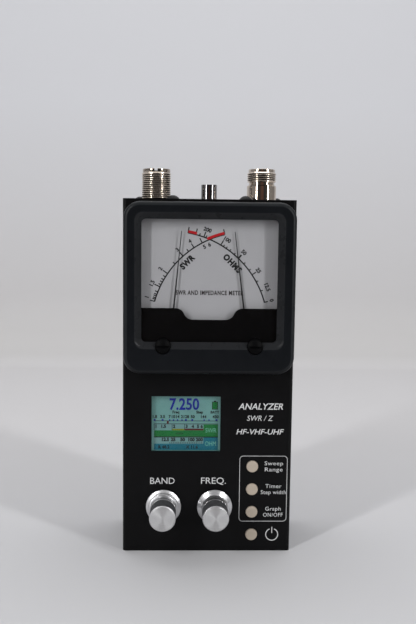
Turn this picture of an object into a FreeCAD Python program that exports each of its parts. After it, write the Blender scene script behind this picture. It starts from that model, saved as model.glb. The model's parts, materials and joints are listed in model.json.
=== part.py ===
"""Hand-held antenna analyzer with a cross-needle meter, a colour display and two coaxial sockets.

Frame: +Z up, the front panel faces -Y, the origin is the centre of the case's bottom face.
Millimetres and degrees. Every size in SIZES can be changed by itself.
"""
import FreeCAD, Part
import math
import os
import re
import Sketcher

SIZES = {
    # sheet-metal case
    "case_width": 90.5,
    "case_height": 189.0,
    "case_depth": 46.0,
    "wall": 1.5,
    "bend_radius": 1.8,
    "back_flange": 10.0,
    "flange_relief": 4.0,
    # countersunk case screws
    "flat_screw_radius": 1.3,
    "flat_head_radius": 2.4,
    "flat_screw_length": 6.0,
    "screw_fit": 0.04,
    "side_screw_inset": 10.0,
    # battery hatch in the back
    "hatch_margin": 3.0,
    "hatch_bottom": 6.0,
    "hatch_gap": 0.2,
    "hatch_screw_rise": 3.4,
    "tab_width": 16.0,
    "tab_overlap": 5.0,
    "tab_thickness": 1.3,
    # meter bezel and window
    "meter_size": 88.9,
    "meter_margin": 1.65,
    "bezel_depth": 9.0,
    "bezel_corner": 9.0,
    "bezel_lip": 2.4,
    "bezel_wall": 3.0,
    "bezel_front": 3.6,
    "glass_side": 9.3,
    "glass_above": 8.9,
    "glass_below": 16.55,
    "glass_corner": 2.2,
    "glass_bevel": 3.3,
    "glass_rim": 2.5,
    "glass_thickness": 1.5,
    # zero adjusters
    "adjuster_offset": 4.4,
    "adjuster_height": 14.5,
    "adjuster_radius": 3.95,
    "adjuster_gap": 0.2,
    "adjuster_rise": 0.9,
    "adjuster_dome": 1.3,
    "adjuster_slot": 1.0,
    "adjuster_stem": 1.3,
    "adjuster_boss": 4.5,
    "pivot_fit": 0.05,
    # mask and dial
    "mask_thickness": 0.5,
    "mask_top": 10.5,
    "mask_dip": 6.0,
    "mask_dip_half": 8.5,
    "mask_shoulder_half": 17.5,
    "dial_thickness": 0.5,
    "dial_hole": 9.4,
    # movements
    "pivot_height": 23.55,
    "cup_stud_gap": 4.15,
    "cup_height": 50.0,
    "cup_below": 13.6,
    "cup_depth": 18.0,
    "cup_wall": 2.0,
    "yoke_gap": 1.3,
    "yoke_outer": 11.0,
    "yoke_inner": 7.5,
    "yoke_length": 12.0,
    "core_radius": 5.5,
    "core_length": 8.0,
    "core_web": 2.0,
    "core_web_turn": 34.0,
    "coil_outer": 7.1,
    "coil_inner": 6.0,
    "coil_thick": 3.0,
    "coil_bar": 1.0,
    "coil_gap": 0.7,
    "pivot_radius": 0.4,
    "bearing_radius": 1.6,
    "hub_radius": 1.7,
    "needle_top_gap": 5.75,
    "needle_root": 0.5,
    "needle_tip": 0.36,
    "needle_thickness": 0.3,
    "needle_tail": 7.0,
    "swr_lift": 0.9,
    "ohms_lift": 1.5,
    "swr_rest": 97.3,
    "ohms_rest": 84.5,
    "bridge_lift": 2.3,
    "bridge_width": 3.6,
    "bridge_thickness": 0.4,
    "bridge_foot": 10.0,
    # meter studs and nuts
    "stud_inset": 5.0,
    "stud_side_gap": 1.25,
    "stud_radius": 1.5,
    "stud_boss": 0.8,
    "stud_length": 3.4,
    "stud_nut": 2.9,
    "stud_nut_height": 2.2,
    # display
    "lcd_width": 36.7,
    "lcd_height": 29.9,
    "lcd_x": -11.55,
    "lcd_drop": 28.35,
    "lcd_rim": 2.6,
    "lcd_window_thickness": 1.0,
    "lcd_panel_thickness": 2.2,
    "lcd_board_margin": 5.0,
    "lcd_board_thickness": 1.2,
    "lcd_header_height": 3.0,
    # main board
    "board_gap": 7.0,
    "board_thickness": 1.6,
    "board_edge_gap": 2.5,
    "board_bottom": 4.0,
    "board_meter_gap": 1.45,
    "standoff_side_inset": 2.8,
    "standoff_inset": 4.0,
    "standoff_radius": 2.4,
    "board_screw_radius": 1.25,
    "board_screw_head": 2.2,
    "board_head_height": 1.5,
    "board_screw_length": 5.0,
    "chip_size": 14.0,
    "chip_height": 1.4,
    "chip_row_low": 30.8,
    "chip_row_high": 56.0,
    "header_width": 20.0,
    "header_height": 5.0,
    "header_depth": 6.0,
    # push buttons
    "button_x": 24.25,
    "button_first_z": 9.2,
    "button_pitch": 12.6,
    "button_radius": 3.15,
    "button_gap": 0.15,
    "button_rise": 0.9,
    "button_crown": 0.35,
    "button_flange": 4.2,
    "button_flange_height": 0.8,
    "button_stem": 1.7,
    "button_travel": 0.5,
    "button_slack": 0.1,
    "tact_size": 6.0,
    "tact_height": 3.5,
    # knobs and encoders
    "band_x": -23.3,
    "freq_x": 4.2,
    "knob_z": 24.9,
    "knob_gap": 0.7,
    "knob_height": 18.75,
    "skirt_radius": 9.4,
    "skirt_rim": 0.6,
    "skirt_height": 3.0,
    "collar_radius": 7.0,
    "grip_radius": 6.85,
    "grip_thickness": 0.9,
    "grip_start": 8.8,
    "cap_height": 0.85,
    "cap_chamfer": 0.5,
    "recess_radius": 6.1,
    "recess_height": 4.2,
    "shaft_radius": 3.0,
    "shaft_length": 15.0,
    "shaft_fit": 0.04,
    "shaft_seat": 5.0,
    "set_screw_radius": 1.5,
    "set_screw_z": 6.6,
    "set_screw_sink": 0.3,
    "encoder_size": 12.4,
    "bushing_radius": 4.4,
    "bushing_height": 3.4,
    "bushing_gap": 0.1,
    "washer_radius": 5.6,
    "washer_thickness": 0.5,
    "nut_radius": 5.7,
    "nut_height": 2.0,
    # coaxial sockets
    "flange_side_gap": 2.3,
    "thread_radius": 7.94,
    "panel_hole_gap": 0.2,
    "flange_size": 25.4,
    "flange_thickness": 1.6,
    "flange_hole_spread": 9.13,
    "so239_shank_radius": 7.6,
    "so239_shank_rise": 0.3,
    "so239_height": 17.2,
    "so239_lip_height": 1.9,
    "so239_lip_radius": 7.45,
    "so239_bore": 6.1,
    "so239_mouth": 6.0,
    "so239_tail": 6.0,
    "so239_pin_bore": 2.0,
    "so239_pin_wall": 1.0,
    "so239_pin_depth": 14.0,
    "notch_width": 1.8,
    "notch_depth": 1.1,
    "n_barrel_radius": 8.0,
    "n_barrel_height": 9.0,
    "n_neck_radius": 7.0,
    "n_neck_height": 1.6,
    "n_thread_height": 5.0,
    "n_lip_radius": 7.2,
    "n_lip_height": 2.1,
    "n_bore": 4.3,
    "n_mouth": 9.0,
    "n_lead_in": 1.1,
    "n_lead_depth": 2.0,
    "n_tail": 4.0,
    "n_pin_radius": 1.55,
    "n_pin_rise": 3.8,
    "n_pin_bore": 0.83,
    "n_pin_depth": 5.0,
    "tail_radius": 1.1,
    "insulator_fit": 0.02,
    # flange screws and nuts
    "flange_screw_radius": 1.5,
    "flange_head_radius": 3.8,
    "flange_head_height": 2.6,
    "flange_head_dome": 2.1,
    "cross_length": 3.8,
    "cross_width": 0.87,
    "cross_depth": 1.3,
    "flange_screw_length": 7.0,
    "flange_nut_radius": 3.1,
    "flange_nut_height": 2.4,
    # selector button
    "select_radius": 4.35,
    "select_rise": 8.9,
    "select_chamfer": 0.4,
    "select_gap": 0.25,
    "select_travel": 3.0,
    "select_stem": 2.6,
    "select_stem_length": 4.0,
    "select_switch": 12.0,
    # board under the top panel
    "rf_gap": 11.5,
    "rf_standoff_gap": 0.1,
    "shield_width": 50.0,
    "shield_edge": 1.0,
    "shield_height": 6.0,
    "shield_wall": 0.5,
    "ribbon_thickness": 0.9,
    "ribbon_width": 18.0,
    "ribbon_gap": 0.4,
    # battery
    "cell_radius": 7.1,
    "cell_length": 49.5,
    "nub_radius": 2.75,
    "nub_height": 1.0,
    "cell_gap": 0.6,
    "cell_slack": 0.4,
    "holder_wall": 1.2,
    "holder_bottom": 6.4,
    "spring_length": 6.0,
    "spring_radius": 3.2,
    "contact_size": 9.0,
    "contact_thickness": 0.5,
    "holder_leg": 2.5,
    "holder_leg_inset": 6.0,
}
CELLS = 6
NOTCHES = 4
SINK_TAPER = 45.0
BEVEL_TAPER = 45.0

doc = FreeCAD.newDocument("antenna_analyzer")
sheet = doc.addObject("Spreadsheet::Sheet", "sizes")
for row, (alias, number) in enumerate(SIZES.items(), start=1):
    sheet.set(f"A{row}", alias)
    sheet.set(f"B{row}", str(number))
    sheet.setAlias(f"B{row}", alias)
doc.recompute()

# Places that several pieces share, worked out from the sheet's sizes
FRONT = "(-case_depth / 2)"
PANEL = f"({FRONT} + wall)"
BACK = "(case_depth / 2)"
BACK_INSIDE = f"({BACK} - wall)"
SIDE = "(case_width / 2)"
SIDE_INSIDE = f"({SIDE} - wall)"
TOP_INSIDE = "(case_height - wall)"
METER_TOP = "(case_height - meter_margin)"
METER_BOTTOM = f"({METER_TOP} - meter_size)"
BEZEL_FACE = f"({FRONT} - bezel_depth)"
GLASS_FACE = f"({BEZEL_FACE} + bezel_front)"
GLASS_BACK = f"({GLASS_FACE} + glass_thickness)"
GLASS_HALF = "(meter_size / 2 - glass_side)"
GLASS_TOP = f"({METER_TOP} - glass_above)"
GLASS_BOTTOM = f"({METER_BOTTOM} + glass_below)"
MASK_BACK = f"({GLASS_BACK} + mask_thickness)"
STUD_X = f"min(meter_size / 2 - stud_inset; {SIDE_INSIDE} - stud_nut - stud_side_gap)"
CUP_HALF = f"({STUD_X} - stud_radius - cup_stud_gap)"
PIVOT_X = f"({CUP_HALF} - cup_wall - yoke_gap - yoke_outer)"
PIVOT_Z = f"({METER_BOTTOM} + pivot_height)"
ADJUSTER_X = f"({PIVOT_X} + adjuster_offset)"
ADJUSTER_Z = f"({METER_BOTTOM} + adjuster_height)"
DIAL_FACE = f"({FRONT} - dial_thickness)"
CUP_BACK = f"({FRONT} + cup_depth)"
CUP_FLOOR = f"({CUP_BACK} - cup_wall)"
CUP_BOTTOM = f"({PIVOT_Z} - cup_below)"
CUP_TOP = f"({CUP_BOTTOM} + cup_height)"
LCD_Z = f"({METER_BOTTOM} - lcd_drop)"
LCD_BACK = f"({PANEL} + lcd_window_thickness + lcd_panel_thickness)"
BOARD_FACE = f"({PANEL} + board_gap)"
BOARD_BACK = f"({BOARD_FACE} + board_thickness)"
BOARD_HALF = f"({SIDE_INSIDE} - board_edge_gap)"
BOARD_TOP = f"({METER_BOTTOM} - board_meter_gap)"
SOCKET_X = f"({SIDE_INSIDE} - flange_side_gap - flange_size / 2)"
RF_TOP = f"({TOP_INSIDE} - rf_gap)"
RF_BOTTOM = f"({RF_TOP} - board_thickness)"
RF_HALF_DEPTH = f"({BACK_INSIDE} - board_edge_gap)"
FLANGE_BOTTOM = f"({TOP_INSIDE} - flange_thickness)"
HOLDER_BACK = f"({BACK_INSIDE} - tab_thickness)"
HOLDER_FRONT = f"({HOLDER_BACK} - cell_slack - 2 * cell_radius - holder_wall)"
HOLDER_TOP = f"(holder_bottom + {CELLS} * (2 * cell_radius + cell_gap) + 2 * holder_wall)"
HOLDER_HALF = ("(cell_length / 2 + nub_height / 2 + contact_thickness + spring_length / 2"
               " + holder_wall)")
HATCH_HALF = f"({HOLDER_HALF} + hatch_margin)"
HATCH_SCREW_Z = f"({HOLDER_TOP} + hatch_screw_rise)"
HATCH_TOP = f"({HATCH_SCREW_Z} + tab_overlap)"
REAR_EDGE = f"({PANEL} + bend_radius - wall)"

TOWARD_VIEWER = FreeCAD.Rotation(FreeCAD.Vector(1, 0, 0), 90)
UPWARD = FreeCAD.Rotation()
PLANES = {"X": "YZ_Plane", "Y": "XZ_Plane", "Z": "XY_Plane"}
FIRST, LAST, CENTRE = range(1, 4)  # a sketch item's points, as the sketcher numbers them
ORIGIN = -FIRST  # the item that holds the sketch's own origin
parts = {}


# Expressions and sketches

def bound(text):
    """Write the sheet's name in front of each size in an expression."""
    return re.sub(r"[a-z][a-z0-9_]*",
                  lambda word: f"sizes.{word[0]}" if word[0] in SIZES else word[0], text)


def value(text):
    """An expression's number."""
    return float(sheet.evalExpression(bound(text)))


def fix_point(sketch, item, end, x, y):
    """Hold a sketch point at two bound coordinates."""
    for kind, text in (("DistanceX", x), ("DistanceY", y)):
        index = sketch.addConstraint(
            Sketcher.Constraint(kind, ORIGIN, FIRST, item, end, value(text)))
        sketch.setExpression(f"Constraints[{index}]", bound(text))


def circle(x, y, radius):
    """A full circle."""
    def draw(sketch):
        centre = FreeCAD.Vector(value(x), value(y), 0)
        item = sketch.addGeometry(
            Part.Circle(centre, FreeCAD.Vector(0, 0, 1), value(radius)), False)
        fix_point(sketch, item, CENTRE, x, y)
        index = sketch.addConstraint(Sketcher.Constraint("Radius", item, value(radius)))
        sketch.setExpression(f"Constraints[{index}]", bound(radius))
    return draw


def bulged(start, finish, radius):
    """The arc from start to finish; a positive radius curves to the left of the way there."""
    chord = finish - start
    left = FreeCAD.Vector(-chord.y, chord.x, 0).normalize()
    rise = math.sqrt(max(radius ** 2 - (chord.Length / 2) ** 2, 0.0))
    sign = math.copysign(1.0, radius)
    centre = (start + finish) / 2 + left * rise * sign
    middle = centre - left * abs(radius) * sign
    return Part.Arc(start, middle, finish)


def outline(points):
    """A closed outline of (x, y) corners; (x, y, radius) starts an arc to the next corner."""
    def draw(sketch):
        spots = [FreeCAD.Vector(value(point[0]), value(point[1]), 0) for point in points]
        items = []
        for place, point in enumerate(points):
            finish = spots[(place + 1) % len(spots)]
            if len(point) == 2:
                shape = Part.LineSegment(spots[place], finish)
                ends = FIRST, LAST
            else:
                bend = value(point[2])
                shape = bulged(spots[place], finish, bend)
                ends = (FIRST, LAST) if bend > 0 else (LAST, FIRST)
            items.append((sketch.addGeometry(shape, False), *ends))
        for place, point in enumerate(points):
            item, start, stop = items[place]
            following, next_start, _ = items[(place + 1) % len(items)]
            sketch.addConstraint(
                Sketcher.Constraint("Coincident", item, stop, following, next_start))
            fix_point(sketch, item, start, point[0], point[1])
            if len(point) == 3:
                radius = f"abs({point[2]})"
                index = sketch.addConstraint(Sketcher.Constraint("Radius", item, value(radius)))
                sketch.setExpression(f"Constraints[{index}]", bound(radius))
    return draw


def rectangle(left, bottom, right, top):
    """A plain rectangle."""
    return outline([(left, bottom), (right, bottom), (right, top), (left, top)])


def rounded(left, bottom, right, top, radius):
    """A rectangle with rounded corners."""
    return outline([
        (f"{left} + {radius}", bottom), (f"{right} - {radius}", bottom, radius),
        (right, f"{bottom} + {radius}"), (right, f"{top} - {radius}", radius),
        (f"{right} - {radius}", top), (f"{left} + {radius}", top, radius),
        (left, f"{top} - {radius}"), (left, f"{bottom} + {radius}", radius)])


def square(x, y, side):
    """A square about its centre."""
    return rectangle(f"{x} - {side} / 2", f"{y} - {side} / 2",
                     f"{x} + {side} / 2", f"{y} + {side} / 2")


def hexagon(x, y, radius):
    """A hexagon about its centre, with its corners at the radius."""
    return outline([(f"{x} + {radius} * cos({turn})", f"{y} + {radius} * sin({turn})")
                    for turn in range(0, 360, 60)])


# Features

def new_body(label, x="0", y="0", z="0", rotation=UPWARD):
    """A sub-part, placed by bound coordinates."""
    body = doc.addObject("PartDesign::Body", label)
    body.Label = label
    body.Placement = FreeCAD.Placement(
        FreeCAD.Vector(value(x), value(y), value(z)), rotation)
    for axis, text in (("x", x), ("y", y), ("z", z)):
        body.setExpression(f"Placement.Base.{axis}", bound(text))
    parts[label] = body
    return body


def new_sketch(body, axis, level, shapes):
    """A sketch across an axis of the body, at a bound level along it."""
    sketch = body.newObject("Sketcher::SketchObject", f"{body.Label}_sketch")
    plane = next(item for item in body.Origin.OriginFeatures if item.Role == PLANES[axis])
    sketch.AttachmentSupport = [(plane, "")]
    sketch.MapMode = "FlatFace"
    along = f"-({level})" if axis == "Y" else level
    sketch.setExpression("AttachmentOffset.Base.z", bound(along))
    for draw in shapes:
        draw(sketch)
    return sketch


def add(body, axis, low, high, shapes, taper=0.0):
    """Material between two levels along an axis."""
    sketch = new_sketch(body, axis, low, shapes)
    pad = body.newObject("PartDesign::Pad", f"{body.Label}_pad")
    pad.Profile = sketch
    pad.Reversed = axis == "Y"
    pad.TaperAngle = taper
    pad.setExpression("Length", bound(f"{high} - ({low})"))
    doc.recompute()
    return pad


def cut(body, axis, low, high, shapes, taper=0.0, downward=False):
    """A cut between two levels along an axis, drawn at its low level or, downward, its high."""
    before = body.Shape.Volume
    sketch = new_sketch(body, axis, high if downward else low, shapes)
    pocket = body.newObject("PartDesign::Pocket", f"{body.Label}_pocket")
    pocket.Profile = sketch
    pocket.Reversed = (axis != "Y") != downward
    pocket.TaperAngle = taper
    pocket.setExpression("Length", bound(f"{high} - ({low})"))
    doc.recompute()
    if body.Shape.Volume >= before - 1e-6:
        raise RuntimeError(f"{pocket.Label} cuts nothing")
    return pocket


def dress(body, kind, feature, size, wanted):
    """A fillet or chamfer on the edges of a feature that the test picks."""
    names = [f"Edge{number}" for number, edge in enumerate(feature.Shape.Edges, start=1)
             if wanted(edge)]
    dressed = body.newObject(f"PartDesign::{kind}", f"{body.Label}_{kind.lower()}")
    dressed.Base = (feature, names)
    dressed.setExpression("Radius" if kind == "Fillet" else "Size", bound(size))
    doc.recompute()
    return dressed


def turn(body, points, kind="Revolution"):
    """Revolve an outline of radius and height about the body's Z, or cut with it."""
    sketch = new_sketch(body, "Y", "0", [outline(points)])
    feature = body.newObject(f"PartDesign::{kind}", f"{body.Label}_{kind.lower()}")
    feature.Profile = sketch
    axis = next(item for item in body.Origin.OriginFeatures if item.Role == "Z_Axis")
    feature.ReferenceAxis = (axis, [""])
    doc.recompute()
    return feature


def is_level(edge, axis, level):
    """Whether an edge lies in the plane at a level along an axis."""
    box = edge.BoundBox
    low, high = (getattr(box, f"{axis}Min"), getattr(box, f"{axis}Max"))
    return abs(low - level) < 1e-4 and abs(high - level) < 1e-4


# Case

def side_screw_heights():
    """The heights of the screws along each side."""
    lowest = "(wall + flange_relief + side_screw_inset)"
    highest = f"({RF_BOTTOM} - side_screw_inset)"
    return [lowest, f"(({lowest} + {highest}) / 2)", highest]


SIDE_SCREW_Y = f"({BACK_INSIDE} - back_flange / 2)"
SINK_DEPTH = "(flat_head_radius - flat_screw_radius)"


def front_cover():
    """Front panel and both sides, bent from one sheet."""
    body = new_body("front_cover")
    inner = "(bend_radius - wall)"
    channel = outline([
        (f"-{SIDE}", BACK), (f"-{SIDE}", f"{FRONT} + bend_radius", "bend_radius"),
        (f"-{SIDE} + bend_radius", FRONT), (f"{SIDE} - bend_radius", FRONT, "bend_radius"),
        (SIDE, f"{FRONT} + bend_radius"), (SIDE, BACK),
        (SIDE_INSIDE, BACK), (SIDE_INSIDE, f"{PANEL} + {inner}", f"-{inner}"),
        (f"{SIDE_INSIDE} - {inner}", PANEL), (f"-{SIDE_INSIDE} + {inner}", PANEL, f"-{inner}"),
        (f"-{SIDE_INSIDE}", f"{PANEL} + {inner}"), (f"-{SIDE_INSIDE}", BACK)])
    add(body, "Z", "0", "case_height", [channel])
    openings = [
        rectangle(f"-{CUP_HALF}", CUP_BOTTOM, CUP_HALF, CUP_TOP),
        rectangle("lcd_x - lcd_width / 2", f"{LCD_Z} - lcd_height / 2",
                  "lcd_x + lcd_width / 2", f"{LCD_Z} + lcd_height / 2")]
    openings += [circle(knob_x, "knob_z", "bushing_radius + bushing_gap")
                 for knob_x in ("band_x", "freq_x")]
    openings += [circle("button_x", height, "button_radius + button_gap")
                 for height in button_heights()]
    openings += [circle(x, height, "stud_radius + screw_fit") for x, height in stud_places()]
    cut(body, "Y", FRONT, PANEL, openings)
    holes = [circle(SIDE_SCREW_Y, height, "flat_screw_radius + screw_fit")
             for height in side_screw_heights()]
    cut(body, "X", f"-{SIDE}", SIDE, holes)
    heads = [circle(SIDE_SCREW_Y, height, "flat_head_radius + screw_fit")
             for height in side_screw_heights()]
    cut(body, "X", f"-{SIDE}", f"-{SIDE} + {SINK_DEPTH}", heads, taper=-SINK_TAPER)
    cut(body, "X", f"{SIDE} - {SINK_DEPTH}", SIDE, heads, taper=-SINK_TAPER, downward=True)


def rear_cover():
    """Back, top and bottom, bent from one sheet, with flanges behind the sides."""
    body = new_body("rear_cover")
    inner = "(bend_radius - wall)"
    channel = outline([
        (REAR_EDGE, "0"), (f"{BACK} - bend_radius", "0", "bend_radius"),
        (BACK, "bend_radius"), (BACK, "case_height - bend_radius", "bend_radius"),
        (f"{BACK} - bend_radius", "case_height"), (REAR_EDGE, "case_height"),
        (REAR_EDGE, TOP_INSIDE), (f"{BACK_INSIDE} - {inner}", TOP_INSIDE, f"-{inner}"),
        (BACK_INSIDE, f"{TOP_INSIDE} - {inner}"), (BACK_INSIDE, f"wall + {inner}", f"-{inner}"),
        (f"{BACK_INSIDE} - {inner}", "wall"), (REAR_EDGE, "wall")])
    add(body, "X", f"-{SIDE_INSIDE}", SIDE_INSIDE, [channel])
    flange_front = f"({BACK_INSIDE} - back_flange)"
    flanges = [
        rectangle(f"-{SIDE_INSIDE}", flange_front, f"-{SIDE_INSIDE} + wall", BACK_INSIDE),
        rectangle(f"{SIDE_INSIDE} - wall", flange_front, SIDE_INSIDE, BACK_INSIDE)]
    add(body, "Z", "wall + flange_relief", f"{TOP_INSIDE} - flange_relief", flanges)
    tab = [rectangle("-tab_width / 2", f"{HATCH_TOP} - 2 * tab_overlap", "tab_width / 2",
                     f"{HATCH_TOP} + tab_overlap")]
    add(body, "Y", f"{BACK_INSIDE} - tab_thickness", BACK_INSIDE, tab)
    cut(body, "Y", BACK_INSIDE, BACK,
        [rectangle(f"-{HATCH_HALF}", "hatch_bottom", HATCH_HALF, HATCH_TOP)])
    cut(body, "Y", f"{BACK_INSIDE} - tab_thickness", BACK_INSIDE,
        [circle("0", HATCH_SCREW_Z, "flat_screw_radius + screw_fit")])
    cut(body, "X", f"-{SIDE_INSIDE}", SIDE_INSIDE,
        [circle(SIDE_SCREW_Y, height, "flat_screw_radius + screw_fit")
         for height in side_screw_heights()])
    sockets = [circle(x, "0", "thread_radius + panel_hole_gap") for x in socket_places()]
    sockets.append(circle("0", "0", "select_radius + select_gap"))
    sockets += [circle(x, y, "flange_screw_radius + screw_fit")
                for x, y in flange_screw_places()]
    cut(body, "Z", TOP_INSIDE, "case_height", sockets)


def battery_hatch():
    """Cover plate in the back, with two tongues that slip behind the sheet below it."""
    body = new_body("battery_hatch")
    add(body, "Y", BACK_INSIDE, BACK,
        [rectangle(f"-{HATCH_HALF} + hatch_gap", "hatch_bottom + hatch_gap",
                   f"{HATCH_HALF} - hatch_gap", f"{HATCH_TOP} - hatch_gap")])
    tongues = [rectangle(f"{x} - tab_width / 2", "bend_radius", f"{x} + tab_width / 2",
                         "hatch_bottom + tab_overlap")
               for x in (f"(-{HATCH_HALF} / 2)", f"({HATCH_HALF} / 2)")]
    add(body, "Y", f"{BACK_INSIDE} - tab_thickness", BACK_INSIDE, tongues)
    cut(body, "Y", BACK_INSIDE, BACK, [circle("0", HATCH_SCREW_Z, "flat_screw_radius + screw_fit")])
    cut(body, "Y", f"{BACK} - {SINK_DEPTH}", BACK,
        [circle("0", HATCH_SCREW_Z, "flat_head_radius + screw_fit")], taper=-SINK_TAPER,
        downward=True)


def flat_screws():
    """The countersunk screws of both sides and the hatch."""
    body = new_body("flat_screws")
    heads = [circle(SIDE_SCREW_Y, height, "flat_head_radius") for height in side_screw_heights()]
    shanks = [circle(SIDE_SCREW_Y, height, "flat_screw_radius")
              for height in side_screw_heights()]
    add(body, "X", f"-{SIDE}", f"-{SIDE} + {SINK_DEPTH}", heads, taper=-SINK_TAPER)
    add(body, "X", f"-{SIDE} + {SINK_DEPTH}", f"-{SIDE} + flat_screw_length", shanks)
    add(body, "X", f"{SIDE} - flat_screw_length", f"{SIDE} - {SINK_DEPTH}", shanks)
    add(body, "X", f"{SIDE} - {SINK_DEPTH}", SIDE,
        [circle(SIDE_SCREW_Y, height, "flat_screw_radius") for height in side_screw_heights()],
        taper=SINK_TAPER)
    add(body, "Y", f"{BACK} - flat_screw_length", f"{BACK} - {SINK_DEPTH}",
        [circle("0", HATCH_SCREW_Z, "flat_screw_radius")])
    add(body, "Y", f"{BACK} - {SINK_DEPTH}", BACK,
        [circle("0", HATCH_SCREW_Z, "flat_screw_radius")], taper=SINK_TAPER)


# Meter

def stud_places():
    """The bezel's four fixing studs, near its corners and clear of the case's sides."""
    return [(f"{side} * {STUD_X}", height) for side in ("-1", "1")
            for height in (f"({METER_BOTTOM} + stud_inset)", f"({METER_TOP} - stud_inset)")]


def adjuster_places():
    """The two zero adjusters, left and right."""
    return [f"(-{ADJUSTER_X})", ADJUSTER_X]


def meter_bezel():
    """Moulded square frame with a rounded lip and a bevelled window opening."""
    body = new_body("meter_bezel")
    half = "(meter_size / 2)"
    block = add(body, "Y", BEZEL_FACE, FRONT,
                [rounded(f"-{half}", METER_BOTTOM, half, METER_TOP, "bezel_corner")])
    face = value(BEZEL_FACE)
    dress(body, "Fillet", block, "bezel_lip", lambda edge: is_level(edge, "Y", face))
    cavity = "(meter_size / 2 - bezel_wall)"
    cut(body, "Y", GLASS_FACE, FRONT,
        [rounded(f"-{cavity}", f"{METER_BOTTOM} + bezel_wall", cavity,
                 f"{METER_TOP} - bezel_wall", "(bezel_corner - bezel_wall)")])
    cut(body, "Y", BEZEL_FACE, GLASS_FACE,
        [rounded(f"-{GLASS_HALF}", GLASS_BOTTOM, GLASS_HALF, GLASS_TOP, "glass_corner")])
    cut(body, "Y", BEZEL_FACE, f"{BEZEL_FACE} + glass_bevel",
        [rounded(f"-{GLASS_HALF} - glass_bevel", f"{GLASS_BOTTOM} - glass_bevel",
                 f"{GLASS_HALF} + glass_bevel", f"{GLASS_TOP} + glass_bevel",
                 "(glass_corner + glass_bevel)")], taper=-BEVEL_TAPER)
    cut(body, "Y", BEZEL_FACE, GLASS_FACE,
        [circle(x, ADJUSTER_Z, "adjuster_radius + adjuster_gap") for x in adjuster_places()])
    add(body, "Y", GLASS_FACE, FRONT,
        [circle(x, height, "stud_radius + stud_boss") for x, height in stud_places()])
    add(body, "Y", FRONT, f"{PANEL} + stud_length",
        [circle(x, height, "stud_radius") for x, height in stud_places()])


def meter_window():
    """Clear sheet behind the bezel's opening, drilled for the adjusters."""
    body = new_body("meter_window")
    half = f"({GLASS_HALF} + glass_rim)"
    add(body, "Y", GLASS_FACE, GLASS_BACK,
        [rectangle(f"-{half}", f"{ADJUSTER_Z} - adjuster_boss", half,
                   f"{GLASS_TOP} + glass_rim")])
    cut(body, "Y", GLASS_FACE, GLASS_BACK,
        [circle(x, ADJUSTER_Z, "adjuster_stem + pivot_fit") for x in adjuster_places()])


def meter_mask():
    """Black plate over the pivots, lower in the middle."""
    body = new_body("meter_mask")
    half = f"({GLASS_HALF} + glass_rim)"
    top = f"({PIVOT_Z} + mask_top)"
    dip = f"({top} - mask_dip)"
    run = "(mask_shoulder_half - mask_dip_half)"
    bend = f"(({run} ^ 2 + mask_dip ^ 2) / (4 * mask_dip))"
    middle = f"({top} - mask_dip / 2)"
    halfway = "((mask_shoulder_half + mask_dip_half) / 2)"
    edge = outline([
        (f"-{half}", f"{ADJUSTER_Z} - adjuster_boss"), (half, f"{ADJUSTER_Z} - adjuster_boss"),
        (half, top), ("mask_shoulder_half", top, bend),
        (halfway, middle, f"-{bend}"), ("mask_dip_half", dip),
        ("-mask_dip_half", dip, f"-{bend}"), (f"-{halfway}", middle, bend),
        ("-mask_shoulder_half", top), (f"-{half}", top)])
    add(body, "Y", GLASS_BACK, MASK_BACK, [edge])
    cut(body, "Y", GLASS_BACK, MASK_BACK,
        [circle(x, ADJUSTER_Z, "adjuster_stem + pivot_fit") for x in adjuster_places()])


def meter_dial():
    """Scale plate against the panel, cut away around the pivots."""
    body = new_body("meter_dial")
    half = f"({GLASS_HALF} + glass_rim)"
    add(body, "Y", DIAL_FACE, FRONT,
        [rectangle(f"-{half}", f"{PIVOT_Z} - dial_hole", half,
                   f"{GLASS_TOP} + glass_rim")])
    cut(body, "Y", DIAL_FACE, FRONT,
        [circle(x, PIVOT_Z, "dial_hole - dial_thickness") for x in pivot_places()])


def pivot_places():
    """The pivots of the OHMS and SWR movements, left and right."""
    return [f"(-{PIVOT_X})", PIVOT_X]


def meter_housing():
    """Cup behind the panel that carries both movements."""
    body = new_body("meter_housing")
    add(body, "Y", FRONT, CUP_BACK, [rectangle(f"-{CUP_HALF}", CUP_BOTTOM, CUP_HALF, CUP_TOP)])
    cut(body, "Y", FRONT, CUP_FLOOR,
        [rectangle(f"-{CUP_HALF} + cup_wall", f"{CUP_BOTTOM} + cup_wall",
                   f"{CUP_HALF} - cup_wall", f"{CUP_TOP} - cup_wall")])
    add(body, "Y", f"{CUP_FLOOR} - coil_gap", CUP_FLOOR,
        [circle(x, PIVOT_Z, "bearing_radius") for x in pivot_places()])
    cut(body, "Y", f"{CUP_FLOOR} - coil_gap", CUP_FLOOR,
        [circle(x, PIVOT_Z, "pivot_radius + pivot_fit") for x in pivot_places()])


COIL_BACK = f"({CUP_FLOOR} - coil_gap)"
YOKE_FRONT = f"({CUP_FLOOR} - yoke_length)"
CORE_BACK = f"({COIL_BACK} - coil_bar - coil_gap)"
CORE_FRONT = f"({CORE_BACK} - core_length)"
COIL_FRONT = f"({CORE_FRONT} - coil_gap - coil_bar)"
BRIDGE_FACE = f"({DIAL_FACE} - bridge_lift)"


def movement_yokes():
    """Magnet rings around both coils."""
    body = new_body("movement_yokes")
    add(body, "Y", YOKE_FRONT, CUP_FLOOR,
        [circle(x, PIVOT_Z, "yoke_outer") for x in pivot_places()])
    cut(body, "Y", YOKE_FRONT, CUP_FLOOR,
        [circle(x, PIVOT_Z, "yoke_inner") for x in pivot_places()])


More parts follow.
